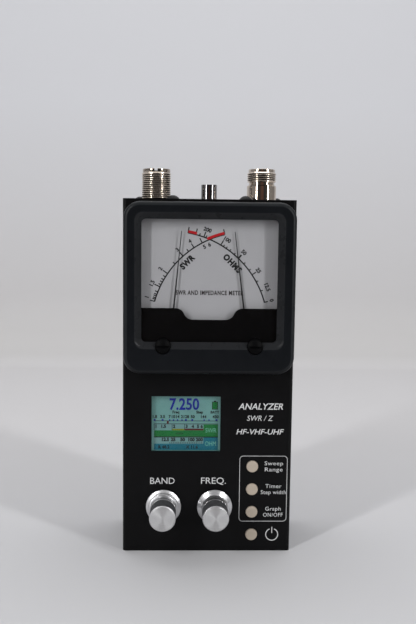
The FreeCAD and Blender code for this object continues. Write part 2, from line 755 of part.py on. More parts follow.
def movement_cores():
    """Iron cores inside both coils, each with a web across to its ring."""
    body = new_body("movement_cores")
    cores = [circle(x, PIVOT_Z, "core_radius") for x in pivot_places()]
    add(body, "Y", CORE_FRONT, CORE_BACK, cores)
    reach = "sqrt(yoke_inner ^ 2 - (core_web / 2) ^ 2)"
    for x, along in ((pivot_places()[0], "(ohms_rest - core_web_turn)"),
                     (pivot_places()[1], "(swr_rest + core_web_turn)")):
        web = outline([
            (f"{x} + {end} * {reach} * cos({along}) - {side} * core_web / 2 * sin({along})",
             f"{PIVOT_Z} + {end} * {reach} * sin({along}) + {side} * core_web / 2 * cos({along})")
            for end, side in (("-1", "-1"), ("1", "-1"), ("1", "1"), ("-1", "1"))])
        add(body, "Y", CORE_FRONT, CORE_BACK, [web])


def needle_bridges():
    """Front bearing strips, each on a foot that stands in the cup."""
    body = new_body("needle_bridges")
    foot = f"({PIVOT_Z} - bridge_foot)"
    strips = [rectangle(f"{x} - bridge_width / 2", foot, f"{x} + bridge_width / 2",
                        f"{PIVOT_Z} + bridge_width / 2") for x in pivot_places()]
    feet = [rectangle(f"{x} - bridge_width / 2", f"{CUP_BOTTOM} + cup_wall",
                      f"{x} + bridge_width / 2", f"{foot} + bridge_thickness")
            for x in pivot_places()]
    add(body, "Y", BRIDGE_FACE, f"{BRIDGE_FACE} + bridge_thickness", strips)
    add(body, "Y", BRIDGE_FACE, YOKE_FRONT, feet)
    cut(body, "Y", BRIDGE_FACE, f"{BRIDGE_FACE} + bridge_thickness",
        [circle(x, PIVOT_Z, "pivot_radius + pivot_fit") for x in pivot_places()])


def pointer(label, x, rest, lift):
    """A needle with its hub and tail, lying along its own X."""
    turn_to_rest = FreeCAD.Rotation(FreeCAD.Vector(0, 0, 1), value(rest))
    body = new_body(label, x, DIAL_FACE, PIVOT_Z, TOWARD_VIEWER.multiply(turn_to_rest))
    tip = f"({GLASS_TOP} - needle_top_gap - {PIVOT_Z})"
    blade = outline([
        ("-needle_tail", "-needle_root"), ("0", "-needle_root"),
        (tip, "-needle_tip / 2"), (tip, "needle_tip / 2"),
        ("0", "needle_root"), ("-needle_tail", "needle_root")])
    add(body, "Z", lift, f"{lift} + needle_thickness", [blade])
    hub_back = f"({DIAL_FACE} - {COIL_FRONT})"
    add(body, "Z", hub_back, lift, [circle("0", "0", "hub_radius")])
    add(body, "Z", f"{lift} + needle_thickness", "bridge_lift",
        [circle("0", "0", "pivot_radius")])


def coil(label, x, rest):
    """A wound frame around the core, square to its needle, with its rear pivot."""
    turn_to_rest = FreeCAD.Rotation(FreeCAD.Vector(0, 0, 1), value(rest))
    body = new_body(label, x, "0", PIVOT_Z, TOWARD_VIEWER.multiply(turn_to_rest))
    add(body, "X", "-coil_thick / 2", "coil_thick / 2",
        [rectangle("-coil_outer", f"-{COIL_BACK}", "coil_outer", f"-{COIL_FRONT}")])
    cut(body, "X", "-coil_thick / 2", "coil_thick / 2",
        [rectangle("-coil_inner", f"-{COIL_BACK} + coil_bar", "coil_inner",
                   f"-{COIL_FRONT} - coil_bar")])
    add(body, "Z", f"-{CUP_FLOOR}", f"-{COIL_BACK}", [circle("0", "0", "pivot_radius")])


def zero_adjuster(label, x):
    """Slotted domed head with a stem through the window."""
    body = new_body(label, x, GLASS_FACE, ADJUSTER_Z, TOWARD_VIEWER)
    top = "(bezel_front + adjuster_rise)"
    shoulder = f"({top} - adjuster_dome)"
    swell = f"((adjuster_radius ^ 2 + adjuster_dome ^ 2) / (2 * adjuster_dome))"
    turn(body, [
        ("0", "-(glass_thickness + mask_thickness)"),
        ("adjuster_stem", "-(glass_thickness + mask_thickness)"),
        ("adjuster_stem", "0"), ("adjuster_radius", "0"),
        ("adjuster_radius", shoulder, swell), ("0", top)])
    cut(body, "Z", f"{top} - adjuster_slot", top,
        [rectangle("-adjuster_radius", "-adjuster_slot / 2", "adjuster_radius",
                   "adjuster_slot / 2")])


def meter_nuts():
    """Nuts on the bezel's studs, behind the panel."""
    body = new_body("meter_nuts")
    add(body, "Y", PANEL, f"{PANEL} + stud_nut_height",
        [hexagon(x, height, "stud_nut") for x, height in stud_places()])
    cut(body, "Y", PANEL, f"{PANEL} + stud_nut_height",
        [circle(x, height, "stud_radius + screw_fit") for x, height in stud_places()])


# Display

def lcd_plate(label, margin, low, high):
    """A plate behind the display's opening, larger than it by a margin."""
    body = new_body(label)
    add(body, "Y", low, high,
        [rectangle(f"lcd_x - lcd_width / 2 - {margin}", f"{LCD_Z} - lcd_height / 2 - {margin}",
                   f"lcd_x + lcd_width / 2 + {margin}", f"{LCD_Z} + lcd_height / 2 + {margin}")])
    return body


def display():
    """Window, panel and carrier board of the display."""
    lcd_plate("lcd_window", "lcd_rim", PANEL, f"{PANEL} + lcd_window_thickness")
    lcd_plate("lcd_panel", "lcd_rim", f"{PANEL} + lcd_window_thickness", LCD_BACK)
    board = lcd_plate("lcd_board", "lcd_board_margin", LCD_BACK,
                      f"{LCD_BACK} + lcd_board_thickness")
    edge = f"({LCD_Z} - lcd_height / 2 - lcd_board_margin)"
    add(board, "Y", f"{LCD_BACK} + lcd_board_thickness", BOARD_FACE,
        [rectangle("lcd_x - lcd_width / 2", edge, "lcd_x + lcd_width / 2",
                   f"{edge} + lcd_header_height")])


# Boards

def main_board_holes():
    """The screw places of the main board."""
    reach = f"({BOARD_HALF} - standoff_side_inset)"
    return [(f"{side} * {reach}", height) for side in ("-1", "1")
            for height in ("(board_bottom + standoff_inset)", f"({BOARD_TOP} - standoff_inset)")]


def rf_board_holes():
    """The screw places of the board under the top panel, between the sockets' flanges."""
    reach = f"({SOCKET_X} - flange_size / 2 - standoff_radius - rf_standoff_gap)"
    depth = f"({RF_HALF_DEPTH} - standoff_inset)"
    return [(f"{side} * {reach}", f"{end} * {depth}")
            for side in ("-1", "1") for end in ("-1", "1")]


def main_board():
    """Main circuit board behind the front panel."""
    body = new_body("main_board")
    add(body, "Y", BOARD_FACE, BOARD_BACK,
        [rectangle(f"-{BOARD_HALF}", "board_bottom", BOARD_HALF, BOARD_TOP)])
    cut(body, "Y", BOARD_FACE, BOARD_BACK,
        [circle(x, z, "board_screw_radius + screw_fit") for x, z in main_board_holes()])


HEADER_BACK = f"({BOARD_BACK} + header_depth)"
HEADER_TOP = f"({BOARD_TOP} - ribbon_gap)"


def board_parts():
    """Processor, memory, regulator and the ribbon's header on the main board."""
    body = new_body("board_parts")
    chips = [square(x, z, "chip_size") for x, z in
             (("(-chip_size)", "(board_bottom + chip_row_low)"),
              ("(chip_size / 2)", "(board_bottom + chip_row_low)"),
              ("(-chip_size / 2)", "(board_bottom + chip_row_high)"))]
    add(body, "Y", BOARD_BACK, f"{BOARD_BACK} + chip_height", chips)
    add(body, "Y", BOARD_BACK, HEADER_BACK,
        [rectangle("-header_width / 2", f"{HEADER_TOP} - header_height", "header_width / 2",
                   HEADER_TOP)])


def board_standoffs():
    """Posts between the front panel and the main board."""
    body = new_body("board_standoffs")
    add(body, "Y", PANEL, BOARD_FACE,
        [circle(x, z, "standoff_radius") for x, z in main_board_holes()])
    cut(body, "Y", f"{BOARD_BACK} - board_screw_length", BOARD_FACE,
        [circle(x, z, "board_screw_radius + screw_fit") for x, z in main_board_holes()])


def rf_board():
    """Circuit board under the sockets."""
    body = new_body("rf_board")
    add(body, "Z", RF_BOTTOM, RF_TOP,
        [rectangle(f"-{BOARD_HALF}", f"-{RF_HALF_DEPTH}", BOARD_HALF, RF_HALF_DEPTH)])
    cut(body, "Z", RF_BOTTOM, RF_TOP,
        [circle(x, y, "board_screw_radius + screw_fit") for x, y in rf_board_holes()])


def rf_standoffs():
    """Posts between the top panel and the board under it."""
    body = new_body("rf_standoffs")
    add(body, "Z", RF_TOP, TOP_INSIDE,
        [circle(x, y, "standoff_radius") for x, y in rf_board_holes()])
    cut(body, "Z", RF_TOP, f"{RF_BOTTOM} + board_screw_length",
        [circle(x, y, "board_screw_radius + screw_fit") for x, y in rf_board_holes()])


def board_screws():
    """Pan-head screws of both boards."""
    body = new_body("board_screws")
    add(body, "Y", f"{BOARD_BACK} - board_screw_length", BOARD_BACK,
        [circle(x, z, "board_screw_radius") for x, z in main_board_holes()])
    add(body, "Y", BOARD_BACK, f"{BOARD_BACK} + board_head_height",
        [circle(x, z, "board_screw_head") for x, z in main_board_holes()])
    add(body, "Z", RF_BOTTOM, f"{RF_BOTTOM} + board_screw_length",
        [circle(x, y, "board_screw_radius") for x, y in rf_board_holes()])
    add(body, "Z", f"{RF_BOTTOM} - board_head_height", RF_BOTTOM,
        [circle(x, y, "board_screw_head") for x, y in rf_board_holes()])


def rf_shield():
    """Screening can under the board, open at the top."""
    body = new_body("rf_shield")
    half = "(shield_width / 2)"
    back = f"({RF_HALF_DEPTH} - shield_edge)"
    floor = f"({RF_BOTTOM} - shield_height)"
    add(body, "Z", floor, RF_BOTTOM, [rectangle(f"-{half}", "0", half, back)])
    cut(body, "Z", f"{floor} + shield_wall", RF_BOTTOM,
        [rectangle(f"-{half} + shield_wall", "shield_wall", f"{half} - shield_wall",
                   f"{back} - shield_wall")])


def ribbon_cable():
    """Flat cable from the main board's header up behind the meter."""
    body = new_body("ribbon_cable")
    run = f"({CUP_BACK} + ribbon_gap)"
    lower = f"({HEADER_TOP} - header_height)"
    turn_z = f"({CUP_BOTTOM} - ribbon_gap)"
    strip = outline([
        (HEADER_BACK, lower), (f"{HEADER_BACK} + ribbon_thickness", lower),
        (f"{HEADER_BACK} + ribbon_thickness", HEADER_TOP),
        (f"{run} + ribbon_thickness", turn_z), (f"{run} + ribbon_thickness", RF_BOTTOM),
        (run, RF_BOTTOM), (run, f"{turn_z} + ribbon_gap"), (HEADER_BACK, HEADER_TOP)])
    add(body, "X", "-ribbon_width / 2", "ribbon_width / 2", [strip])


# Push buttons

def button_heights():
    """The four buttons' heights, from the lowest."""
    return [f"(button_first_z + {number} * button_pitch)" for number in range(4)]


def push_button(label, height):
    """Round cap with a retaining flange and the stem that presses the switch."""
    body = new_body(label, "button_x", FRONT, height, TOWARD_VIEWER)
    reach = "(board_gap - tact_height - button_travel - button_slack)"
    turn(body, [
        ("0", f"-wall - {reach}"), ("button_stem", f"-wall - {reach}"),
        ("button_stem", "-wall - button_flange_height"),
        ("button_flange", "-wall - button_flange_height"), ("button_flange", "-wall"),
        ("button_radius", "-wall"), ("button_radius", "button_rise - button_crown"),
        ("button_radius - button_crown", "button_rise"), ("0", "button_rise")])


def tact_switches():
    """Switch bodies on the main board, one behind each button."""
    body = new_body("tact_switches")
    add(body, "Y", f"{BOARD_FACE} - tact_height", BOARD_FACE,
        [square("button_x", height, "tact_size") for height in button_heights()])


# Knobs

def knob(label, x):
    """Turned aluminium knob with a flared skirt, hollow below for the nut."""
    body = new_body(label, x, FRONT, "knob_z", TOWARD_VIEWER)
    core = "(grip_radius - grip_thickness)"
    bore = "(shaft_radius + insulator_fit)"
    cap_base = "(knob_height - cap_height)"
    turn(body, [
        ("recess_radius", "knob_gap"), ("skirt_radius", "knob_gap"),
        ("skirt_radius", "knob_gap + skirt_rim"), ("collar_radius", "skirt_height"),
        ("collar_radius", "grip_start"), (core, "grip_start"), (core, cap_base),
        ("grip_radius", cap_base), ("grip_radius", "knob_height - cap_chamfer"),
        ("grip_radius - cap_chamfer", "knob_height"), ("0", "knob_height"),
        ("0", "shaft_length"), (bore, "shaft_length"), (bore, "recess_height"),
        ("recess_radius", "recess_height")])
    cut(body, "Y", "-collar_radius", "0",
        [circle("0", "set_screw_z", "set_screw_radius + screw_fit")])


def knob_grip(label, x):
    """Dark sleeve around the knob's waist."""
    body = new_body(label, x, FRONT, "knob_z", TOWARD_VIEWER)
    inner = "(grip_radius - grip_thickness + insulator_fit)"
    cap_base = "(knob_height - cap_height)"
    turn(body, [
        (inner, "grip_start"), ("grip_radius", "grip_start"),
        ("grip_radius", cap_base), (inner, cap_base)])


def set_screw(label, x):
    """Grub screw in the knob's collar, against the shaft."""
    body = new_body(label, x, FRONT, "knob_z", TOWARD_VIEWER)
    add(body, "Y", "-collar_radius + set_screw_sink", "-shaft_radius",
        [circle("0", "set_screw_z", "set_screw_radius")])


def encoder_shaft(label, x):
    """Steel shaft from inside the encoder to the knob."""
    body = new_body(label, x, FRONT, "knob_z", TOWARD_VIEWER)
    add(body, "Z", "-wall - shaft_seat", "shaft_length", [circle("0", "0", "shaft_radius")])


def encoder(label, x):
    """Encoder body on the main board, with its bushing through the panel."""
    body = new_body(label, x, FRONT, "knob_z", TOWARD_VIEWER)
    add(body, "Z", "-wall - board_gap", "-wall", [square("0", "0", "encoder_size")])
    add(body, "Z", "-wall", "bushing_height", [circle("0", "0", "bushing_radius")])
    cut(body, "Z", "-wall - shaft_seat", "bushing_height",
        [circle("0", "0", "shaft_radius + shaft_fit")])


def encoder_washers():
    """Washers on the panel around the bushings."""
    body = new_body("encoder_washers")
    low = f"({FRONT} - washer_thickness)"
    add(body, "Y", low, FRONT, [circle(x, "knob_z", "washer_radius") for x in knob_places()])
    cut(body, "Y", low, FRONT,
        [circle(x, "knob_z", "bushing_radius + screw_fit") for x in knob_places()])


def encoder_nuts():
    """Hexagon nuts on the bushings."""
    body = new_body("encoder_nuts")
    low = f"({FRONT} - washer_thickness - nut_height)"
    high = f"({FRONT} - washer_thickness)"
    add(body, "Y", low, high, [hexagon(x, "knob_z", "nut_radius") for x in knob_places()])
    cut(body, "Y", low, high,
        [circle(x, "knob_z", "bushing_radius + screw_fit") for x in knob_places()])


def knob_places():
    """The knobs' axes, left and right."""
    return ["band_x", "freq_x"]


# Sockets

def socket_places():
    """The sockets' axes, left and right."""
    return [f"(-{SOCKET_X})", SOCKET_X]


def flange_corners(inward):
    """Two screws on a flange's diagonal, the front one on the side of the panel's middle."""
    return [(f"({inward} * flange_hole_spread)", "(-flange_hole_spread)"),
            (f"(-{inward} * flange_hole_spread)", "flange_hole_spread")]


def flange_screw_places():
    """The screws of both flanges."""
    return [(f"({axis} + {x})", y) for axis, inward in zip(socket_places(), ("1", "-1"))
            for x, y in flange_corners(inward)]


def socket_flange(body, inward, bore):
    """The square flange under the top panel, drilled for its screws."""
    add(body, "Z", "-flange_thickness", "0", [square("0", "0", "flange_size")])
    holes = [circle(x, y, "flange_screw_radius + screw_fit") for x, y in flange_corners(inward)]
    cut(body, "Z", "-flange_thickness", "0", holes + [circle("0", "0", bore)])


def so239_shell():
    """Threaded barrel with a notched lip, on a shank through the panel and a square flange."""
    body = new_body("so239_shell", socket_places()[0], "0", TOP_INSIDE)
    shank = "(wall + so239_shank_rise)"
    top = "(wall + so239_height)"
    neck = f"({top} - so239_lip_height)"
    turn(body, [
        ("so239_bore", "0"), ("so239_shank_radius", "0"), ("so239_shank_radius", shank),
        ("thread_radius", shank), ("thread_radius", neck),
        ("so239_lip_radius", neck), ("so239_lip_radius", top), ("so239_bore", top)])
    notches = []
    for number in range(NOTCHES // 2):
        along = f"({number} * 180 / {NOTCHES // 2} + 45)"
        notches.append(outline([
            (f"{end} * thread_radius * cos({along}) - {side} * notch_width / 2 * sin({along})",
             f"{end} * thread_radius * sin({along}) + {side} * notch_width / 2 * cos({along})")
            for end, side in (("-1", "-1"), ("1", "-1"), ("1", "1"), ("-1", "1"))]))
    for notch in notches:
        cut(body, "Z", f"{top} - notch_depth", top, [notch])
    socket_flange(body, "1", "so239_bore")


def so239_insulator():
    """White insulator around the centre contact."""
    body = new_body("so239_insulator", socket_places()[0], "0", TOP_INSIDE)
    face = "(wall + so239_height - so239_mouth)"
    hole = "(so239_pin_bore + so239_pin_wall + insulator_fit)"
    turn(body, [
        (hole, "-flange_thickness - so239_tail"),
        ("so239_bore - insulator_fit", "-flange_thickness - so239_tail"),
        ("so239_bore - insulator_fit", face), (hole, face)])


def so239_contact():
    """Centre contact, bored for a plug's pin, with its tail on the board."""
    body = new_body("so239_contact", socket_places()[0], "0", TOP_INSIDE)
    face = "(wall + so239_height - so239_mouth)"
    outer = "(so239_pin_bore + so239_pin_wall)"
    shoulder = "(-flange_thickness - so239_tail)"
    turn(body, [
        ("0", "-rf_gap"), ("tail_radius", "-rf_gap"), ("tail_radius", shoulder),
        (outer, shoulder), (outer, face), ("so239_pin_bore", face),
        ("so239_pin_bore", f"{face} - so239_pin_depth"), ("0", f"{face} - so239_pin_depth")])


def n_shell():
    """Plain barrel, neck and short thread with a lip, on a square flange."""
    body = new_body("n_shell", socket_places()[1], "0", TOP_INSIDE)
    barrel = "(wall + n_barrel_height)"
    neck = f"({barrel} + n_neck_height)"
    thread = f"({neck} + n_thread_height)"
    top = f"({thread} + n_lip_height)"
    turn(body, [
        ("n_bore", "0"), ("n_barrel_radius", "0"), ("n_barrel_radius", barrel),
        ("n_neck_radius", barrel), ("n_neck_radius", neck), ("thread_radius", neck),
        ("thread_radius", thread), ("n_lip_radius", thread), ("n_lip_radius", top),
        ("n_bore + n_lead_in", top), ("n_bore", f"{top} - n_lead_depth")])
    socket_flange(body, "-1", "n_bore")


N_FACE = ("(wall + n_barrel_height + n_neck_height + n_thread_height + n_lip_height"
          " - n_mouth)")


def n_insulator():
    """Insulator around the centre contact."""
    body = new_body("n_insulator", socket_places()[1], "0", TOP_INSIDE)
    hole = "(n_pin_radius + insulator_fit)"
    turn(body, [
        (hole, "-flange_thickness - n_tail"),
        ("n_bore - insulator_fit", "-flange_thickness - n_tail"),
        ("n_bore - insulator_fit", N_FACE), (hole, N_FACE)])


def n_contact():
    """Centre contact that stands out of the insulator, bored for a plug's pin."""
    body = new_body("n_contact", socket_places()[1], "0", TOP_INSIDE)
    top = f"({N_FACE} + n_pin_rise)"
    shoulder = "(-flange_thickness - n_tail)"
    turn(body, [
        ("0", "-rf_gap"), ("tail_radius", "-rf_gap"), ("tail_radius", shoulder),
        ("n_pin_radius", shoulder), ("n_pin_radius", top), ("n_pin_bore", top),
        ("n_pin_bore", f"{top} - n_pin_depth"), ("0", f"{top} - n_pin_depth")])


def flange_screws():
    """Round-head screws of both flanges."""
    body = new_body("flange_screws")
    add(body, "Z", "case_height - flange_screw_length", "case_height",
        [circle(x, y, "flange_screw_radius") for x, y in flange_screw_places()])
    top = "(case_height + flange_head_height)"
    heads = add(body, "Z", "case_height", top,
                [circle(x, y, "flange_head_radius") for x, y in flange_screw_places()])
    level = value(top)
    dress(body, "Fillet", heads, "flange_head_dome", lambda edge: is_level(edge, "Z", level))
    for wide, deep in (("cross_length", "cross_width"), ("cross_width", "cross_length")):
        cut(body, "Z", f"{top} - cross_depth", top,
            [rectangle(f"{x} - {wide} / 2", f"{y} - {deep} / 2",
                       f"{x} + {wide} / 2", f"{y} + {deep} / 2")
             for x, y in flange_screw_places()])


def flange_nuts():
    """Nuts under both flanges."""
    body = new_body("flange_nuts")
    low = f"({FLANGE_BOTTOM} - flange_nut_height)"
    add(body, "Z", low, FLANGE_BOTTOM,
        [hexagon(x, y, "flange_nut_radius") for x, y in flange_screw_places()])
    cut(body, "Z", low, FLANGE_BOTTOM,
        [circle(x, y, "flange_screw_radius + screw_fit") for x, y in flange_screw_places()])


# Selector

def select_button():
    """Polished round button with a stem into its switch."""
    body = new_body("select_button", "0", "0", "case_height")
    foot = "(-wall - select_stem_length)"
    turn(body, [
        ("0", foot), ("select_stem", foot), ("select_stem", "0"), ("select_radius", "0"),
        ("select_radius", "select_rise - select_chamfer"),
        ("select_radius - select_chamfer", "select_rise"), ("0", "select_rise")])


def select_switch():
    """Latching switch under the top panel, standing on the board."""
    body = new_body("select_switch", "0", "0", TOP_INSIDE)
    add(body, "Z", "-rf_gap", "0", [square("0", "0", "select_switch")])
    cut(body, "Z", "-select_travel", "0", [circle("0", "0", "select_radius + select_gap")])
    cut(body, "Z", "-select_stem_length - select_travel - select_gap", "-select_travel",
        [circle("0", "0", "select_stem + shaft_fit")])


# Battery

CELL_Y = f"({HOLDER_FRONT} + holder_wall + cell_radius)"


def cell_heights():
    """The heights of the cells' axes, with the side that each one's nub points to."""
    return [(f"(holder_bottom + holder_wall + ({number} + 0.5) * (2 * cell_radius + cell_gap))",
             "1" if number % 2 else "-1") for number in range(CELLS)]


def battery_holder():
    """Open tray for the cells on four legs that stand on the main board."""
    body = new_body("battery_holder")
    add(body, "Y", HOLDER_FRONT, HOLDER_BACK,
        [rectangle(f"-{HOLDER_HALF}", "holder_bottom", HOLDER_HALF, HOLDER_TOP)])
    cut(body, "Y", f"{HOLDER_FRONT} + holder_wall", HOLDER_BACK,
        [rectangle(f"-{HOLDER_HALF} + holder_wall", "holder_bottom + holder_wall",
                   f"{HOLDER_HALF} - holder_wall", f"{HOLDER_TOP} - holder_wall")])
    legs = [circle(f"{side} * ({HOLDER_HALF} - holder_leg_inset)", height, "holder_leg")
            for side in ("-1", "1")
            for height in ("(holder_bottom + holder_leg_inset)",
                           f"(min({HOLDER_TOP}; {BOARD_TOP}) - holder_leg_inset)")]
    add(body, "Y", BOARD_BACK, HOLDER_FRONT, legs)


def battery_cells():
    """The round cells, each with its nub toward the plain contact."""
    body = new_body("battery_cells")
    inside = f"({HOLDER_HALF} - holder_wall - contact_thickness)"
    for height, side in cell_heights():
        near = inside
        far = f"({near} - nub_height - cell_length)"
        nub_low, nub_high = (f"({near} - nub_height)", near)
        low, high = (far, nub_low)
        if side == "-1":
            low, high = (f"-{high}", f"-{low}")
            nub_low, nub_high = (f"-{nub_high}", f"-{nub_low}")
        add(body, "X", low, high, [circle(CELL_Y, height, "cell_radius")])
        add(body, "X", nub_low, nub_high, [circle(CELL_Y, height, "nub_radius")])


def battery_contacts():
    """Contact plates at both ends of each cell, with a spring at its flat end."""
    body = new_body("battery_contacts")
    inside = f"({HOLDER_HALF} - holder_wall)"
    for height, side in cell_heights():
        plate = [rectangle(f"{CELL_Y} - contact_size / 2", f"{height} - contact_size / 2",
                           f"{CELL_Y} + contact_size / 2", f"{height} + contact_size / 2")]
        add(body, "X", f"-{inside}", f"-{inside} + contact_thickness", plate)
        add(body, "X", f"{inside} - contact_thickness", inside, plate)
        low, high = (f"-{inside} + contact_thickness",
                     f"-{inside} + contact_thickness + spring_length")
        if side == "-1":
            low, high = (f"{inside} - contact_thickness - spring_length",
                         f"{inside} - contact_thickness")
        add(body, "X", low, high, [circle(CELL_Y, height, "spring_radius")])


def build_all():
    """Make every sub-part."""
    front_cover()
    rear_cover()
    battery_hatch()
    flat_screws()
    meter_bezel()
    meter_window()
    meter_mask()
    meter_dial()
    meter_housing()
    meter_nuts()
    movement_yokes()
    movement_cores()
    needle_bridges()
    ohms_x, swr_x = pivot_places()
    pointer("swr_needle", swr_x, "swr_rest", "swr_lift")
    coil("swr_coil", swr_x, "swr_rest")
    pointer("ohms_needle", ohms_x, "ohms_rest", "ohms_lift")
    coil("ohms_coil", ohms_x, "ohms_rest")
    zero_adjuster("ohms_adjuster", adjuster_places()[0])
    zero_adjuster("swr_adjuster", adjuster_places()[1])
    display()
    main_board()
    board_parts()
    board_standoffs()
    board_screws()
    rf_board()
    rf_standoffs()
    rf_shield()
    ribbon_cable()
    for name, height in zip(("power", "graph", "width", "sweep"), button_heights()):
        push_button(f"{name}_button", height)
    tact_switches()
    for name, x in zip(("band", "freq"), knob_places()):
        knob(f"{name}_knob", x)
        knob_grip(f"{name}_grip", x)
        set_screw(f"{name}_set_screw", x)
        encoder_shaft(f"{name}_shaft", x)
        encoder(f"{name}_encoder", x)
    encoder_washers()
    encoder_nuts()
    so239_shell()
    so239_insulator()
    so239_contact()
    n_shell()
    n_insulator()
    n_contact()
    flange_screws()
    flange_nuts()
    select_button()
    select_switch()
    battery_holder()
    battery_cells()
    battery_contacts()


def check_and_write():
    """Refuse a failed object or a bad shape, then write each sub-part."""
    doc.recompute()
    for item in doc.Objects:
        if "Invalid" in item.State or "Error" in item.State:
            raise RuntimeError(f"{item.Label} failed: {item.State}")
    for label, body in parts.items():
        if body.Shape.isNull() or not body.Shape.isValid():
            raise RuntimeError(f"{label} has no valid shape")
    os.makedirs("parts", exist_ok=True)
    for label, body in parts.items():
        body.Shape.exportStep(f"parts/{label}.step")


build_all()
check_and_write()
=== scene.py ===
"""Looks of the hand-held antenna analyzer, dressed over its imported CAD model.

Row frame in metres: +Z up, the front panel faces -Y. Lengths written here are millimetres
until MM turns them into metres.
"""

import json
import math
from collections import Counter

import bmesh
import bpy
from mathutils import Matrix, Vector


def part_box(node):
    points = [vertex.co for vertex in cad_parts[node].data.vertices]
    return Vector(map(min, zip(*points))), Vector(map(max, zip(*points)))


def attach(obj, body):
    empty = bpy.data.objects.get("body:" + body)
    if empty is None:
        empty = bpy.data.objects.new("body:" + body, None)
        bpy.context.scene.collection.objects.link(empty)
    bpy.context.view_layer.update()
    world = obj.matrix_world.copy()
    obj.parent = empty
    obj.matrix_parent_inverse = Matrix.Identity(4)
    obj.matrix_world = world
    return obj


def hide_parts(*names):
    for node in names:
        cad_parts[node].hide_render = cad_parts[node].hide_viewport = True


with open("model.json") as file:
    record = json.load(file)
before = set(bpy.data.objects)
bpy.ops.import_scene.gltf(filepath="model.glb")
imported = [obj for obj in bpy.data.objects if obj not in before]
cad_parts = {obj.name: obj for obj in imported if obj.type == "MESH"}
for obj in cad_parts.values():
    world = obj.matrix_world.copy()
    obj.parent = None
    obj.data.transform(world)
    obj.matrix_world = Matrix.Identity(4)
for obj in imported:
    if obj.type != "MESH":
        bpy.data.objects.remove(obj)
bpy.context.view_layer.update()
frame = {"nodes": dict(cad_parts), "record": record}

MM = 0.001
CASE_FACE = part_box("front_cover")[0].y / MM
CASE_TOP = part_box("front_cover")[1].z / MM
BEZEL_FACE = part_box("meter_bezel")[0].y / MM
BEZEL_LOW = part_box("meter_bezel")[0].z / MM
DIAL_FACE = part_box("meter_dial")[0].y / MM
LCD_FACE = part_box("lcd_panel")[0].y / MM

# Steps round a full turn, and the bends above which an edge stays sharp
FINE = 96
SHARP = math.radians(32)
BEZEL_SHARP = math.radians(20)

scene = bpy.context.scene


# Colours and node materials

def tone(red, green, blue):
    """A screen colour, 0 to 255 each, as linear light with its alpha."""
    def linear(level):
        share = level / 255
        return share / 12.92 if share <= 0.04045 else ((share + 0.055) / 1.055) ** 2.4
    return linear(red), linear(green), linear(blue), 1.0


def scaled(colour, factor):
    """A colour made lighter or darker, with its alpha."""
    return (*(min(1.0, part * factor) for part in colour[:3]), 1.0)


def add_node(tree, kind, inputs=None, **settings):
    """A shader node of this kind, with its settings and its inputs linked or filled."""
    node = tree.nodes.new("ShaderNode" + kind)
    for name, setting in settings.items():
        setattr(node, name, setting)
    for name, source in (inputs or {}).items():
        if isinstance(source, bpy.types.NodeSocket):
            tree.links.new(source, node.inputs[name])
        else:
            node.inputs[name].default_value = source
    return node


class Paint:
    """A node material in the making: its shader, its coordinates and short ways to add nodes."""

    def __init__(self, name, **fixed):
        self.material = bpy.data.materials.new(name)
        self.material.use_nodes = True
        self.tree = self.material.node_tree
        self.shader = self.tree.nodes["Principled BSDF"]
        self.place = self.add("TexCoord").outputs["Object"]
        for socket, number in fixed.items():
            self.shader.inputs[socket.replace("_", " ")].default_value = number

    def add(self, kind, inputs=None, **settings):
        """A node in this material."""
        return add_node(self.tree, kind, inputs, **settings)

    def feed(self, socket, source):
        """Link a node's output to the shader."""
        self.tree.links.new(source, self.shader.inputs[socket])

    def maths(self, operation, first, second):
        """A Math node's result."""
        return self.add("Math", {0: first, 1: second}, operation=operation).outputs[0]

    def noise(self, per_metre, detail=3.0):
        """Cloudy noise from 0 to 1."""
        return self.add("TexNoise", {"Vector": self.place, "Scale": per_metre,
                                     "Detail": detail, "Roughness": 0.55}).outputs["Fac"]

    def spread(self, source, low=0.0, high=1.0, start=0.3, stop=0.7):
        """A value between start and stop stretched to a new range, and held at its ends."""
        node = self.add("MapRange", {"Value": source, "From Min": start, "From Max": stop,
                                     "To Min": low, "To Max": high})
        return node.outputs["Result"]

    def blend(self, factor, first, second):
        """A mix of two colours."""
        node = self.add("Mix", {0: factor, 6: first, 7: second}, data_type="RGBA")
        return node.outputs[2]

    def shades(self, factor, colour, first, second):
        """A mix of two brightnesses of a colour."""
        return self.blend(factor, scaled(colour, first), scaled(colour, second))

    def relief(self, height, depth, before=None):
        """Bumps of this depth in metres, on top of other bumps."""
        inputs = {"Height": height, "Distance": depth, "Strength": 1.0}
        if before is not None:
            inputs["Normal"] = before
        return self.add("Bump", inputs).outputs["Normal"]

    def along(self, axis):
        """One coordinate of the place on the piece."""
        return self.add("SeparateXYZ", {"Vector": self.place}).outputs[axis]

    def off_axis(self):
        """The distance from the piece's own upright axis."""
        flat = self.add("VectorMath", {0: self.place, 1: (1.0, 1.0, 0.0)}, operation="MULTIPLY")
        return self.add("VectorMath", {0: flat.outputs["Vector"]}, operation="LENGTH").outputs["Value"]


GLOSS_DRIFT = 0.06


def plain(name, colour, roughness, shade=0.1, cloud=250.0, grain=0.0, grain_size=0.3, **fixed):
    """Solid stock: a cloudy colour, uneven gloss and a fine grain in millimetres."""
    paint = Paint(name, **fixed)
    clouds = paint.spread(paint.noise(cloud))
    paint.feed("Base Color", paint.shades(clouds, colour, 1 - shade, 1 + shade))
    patches = paint.noise(cloud * 3.1, 4.0)
    paint.feed("Roughness", paint.spread(patches, roughness - GLOSS_DRIFT, roughness + GLOSS_DRIFT))
    if grain:
        fine = paint.noise(1 / (grain_size * MM), 2.0)
        paint.feed("Normal", paint.relief(fine, grain * MM))
    return paint


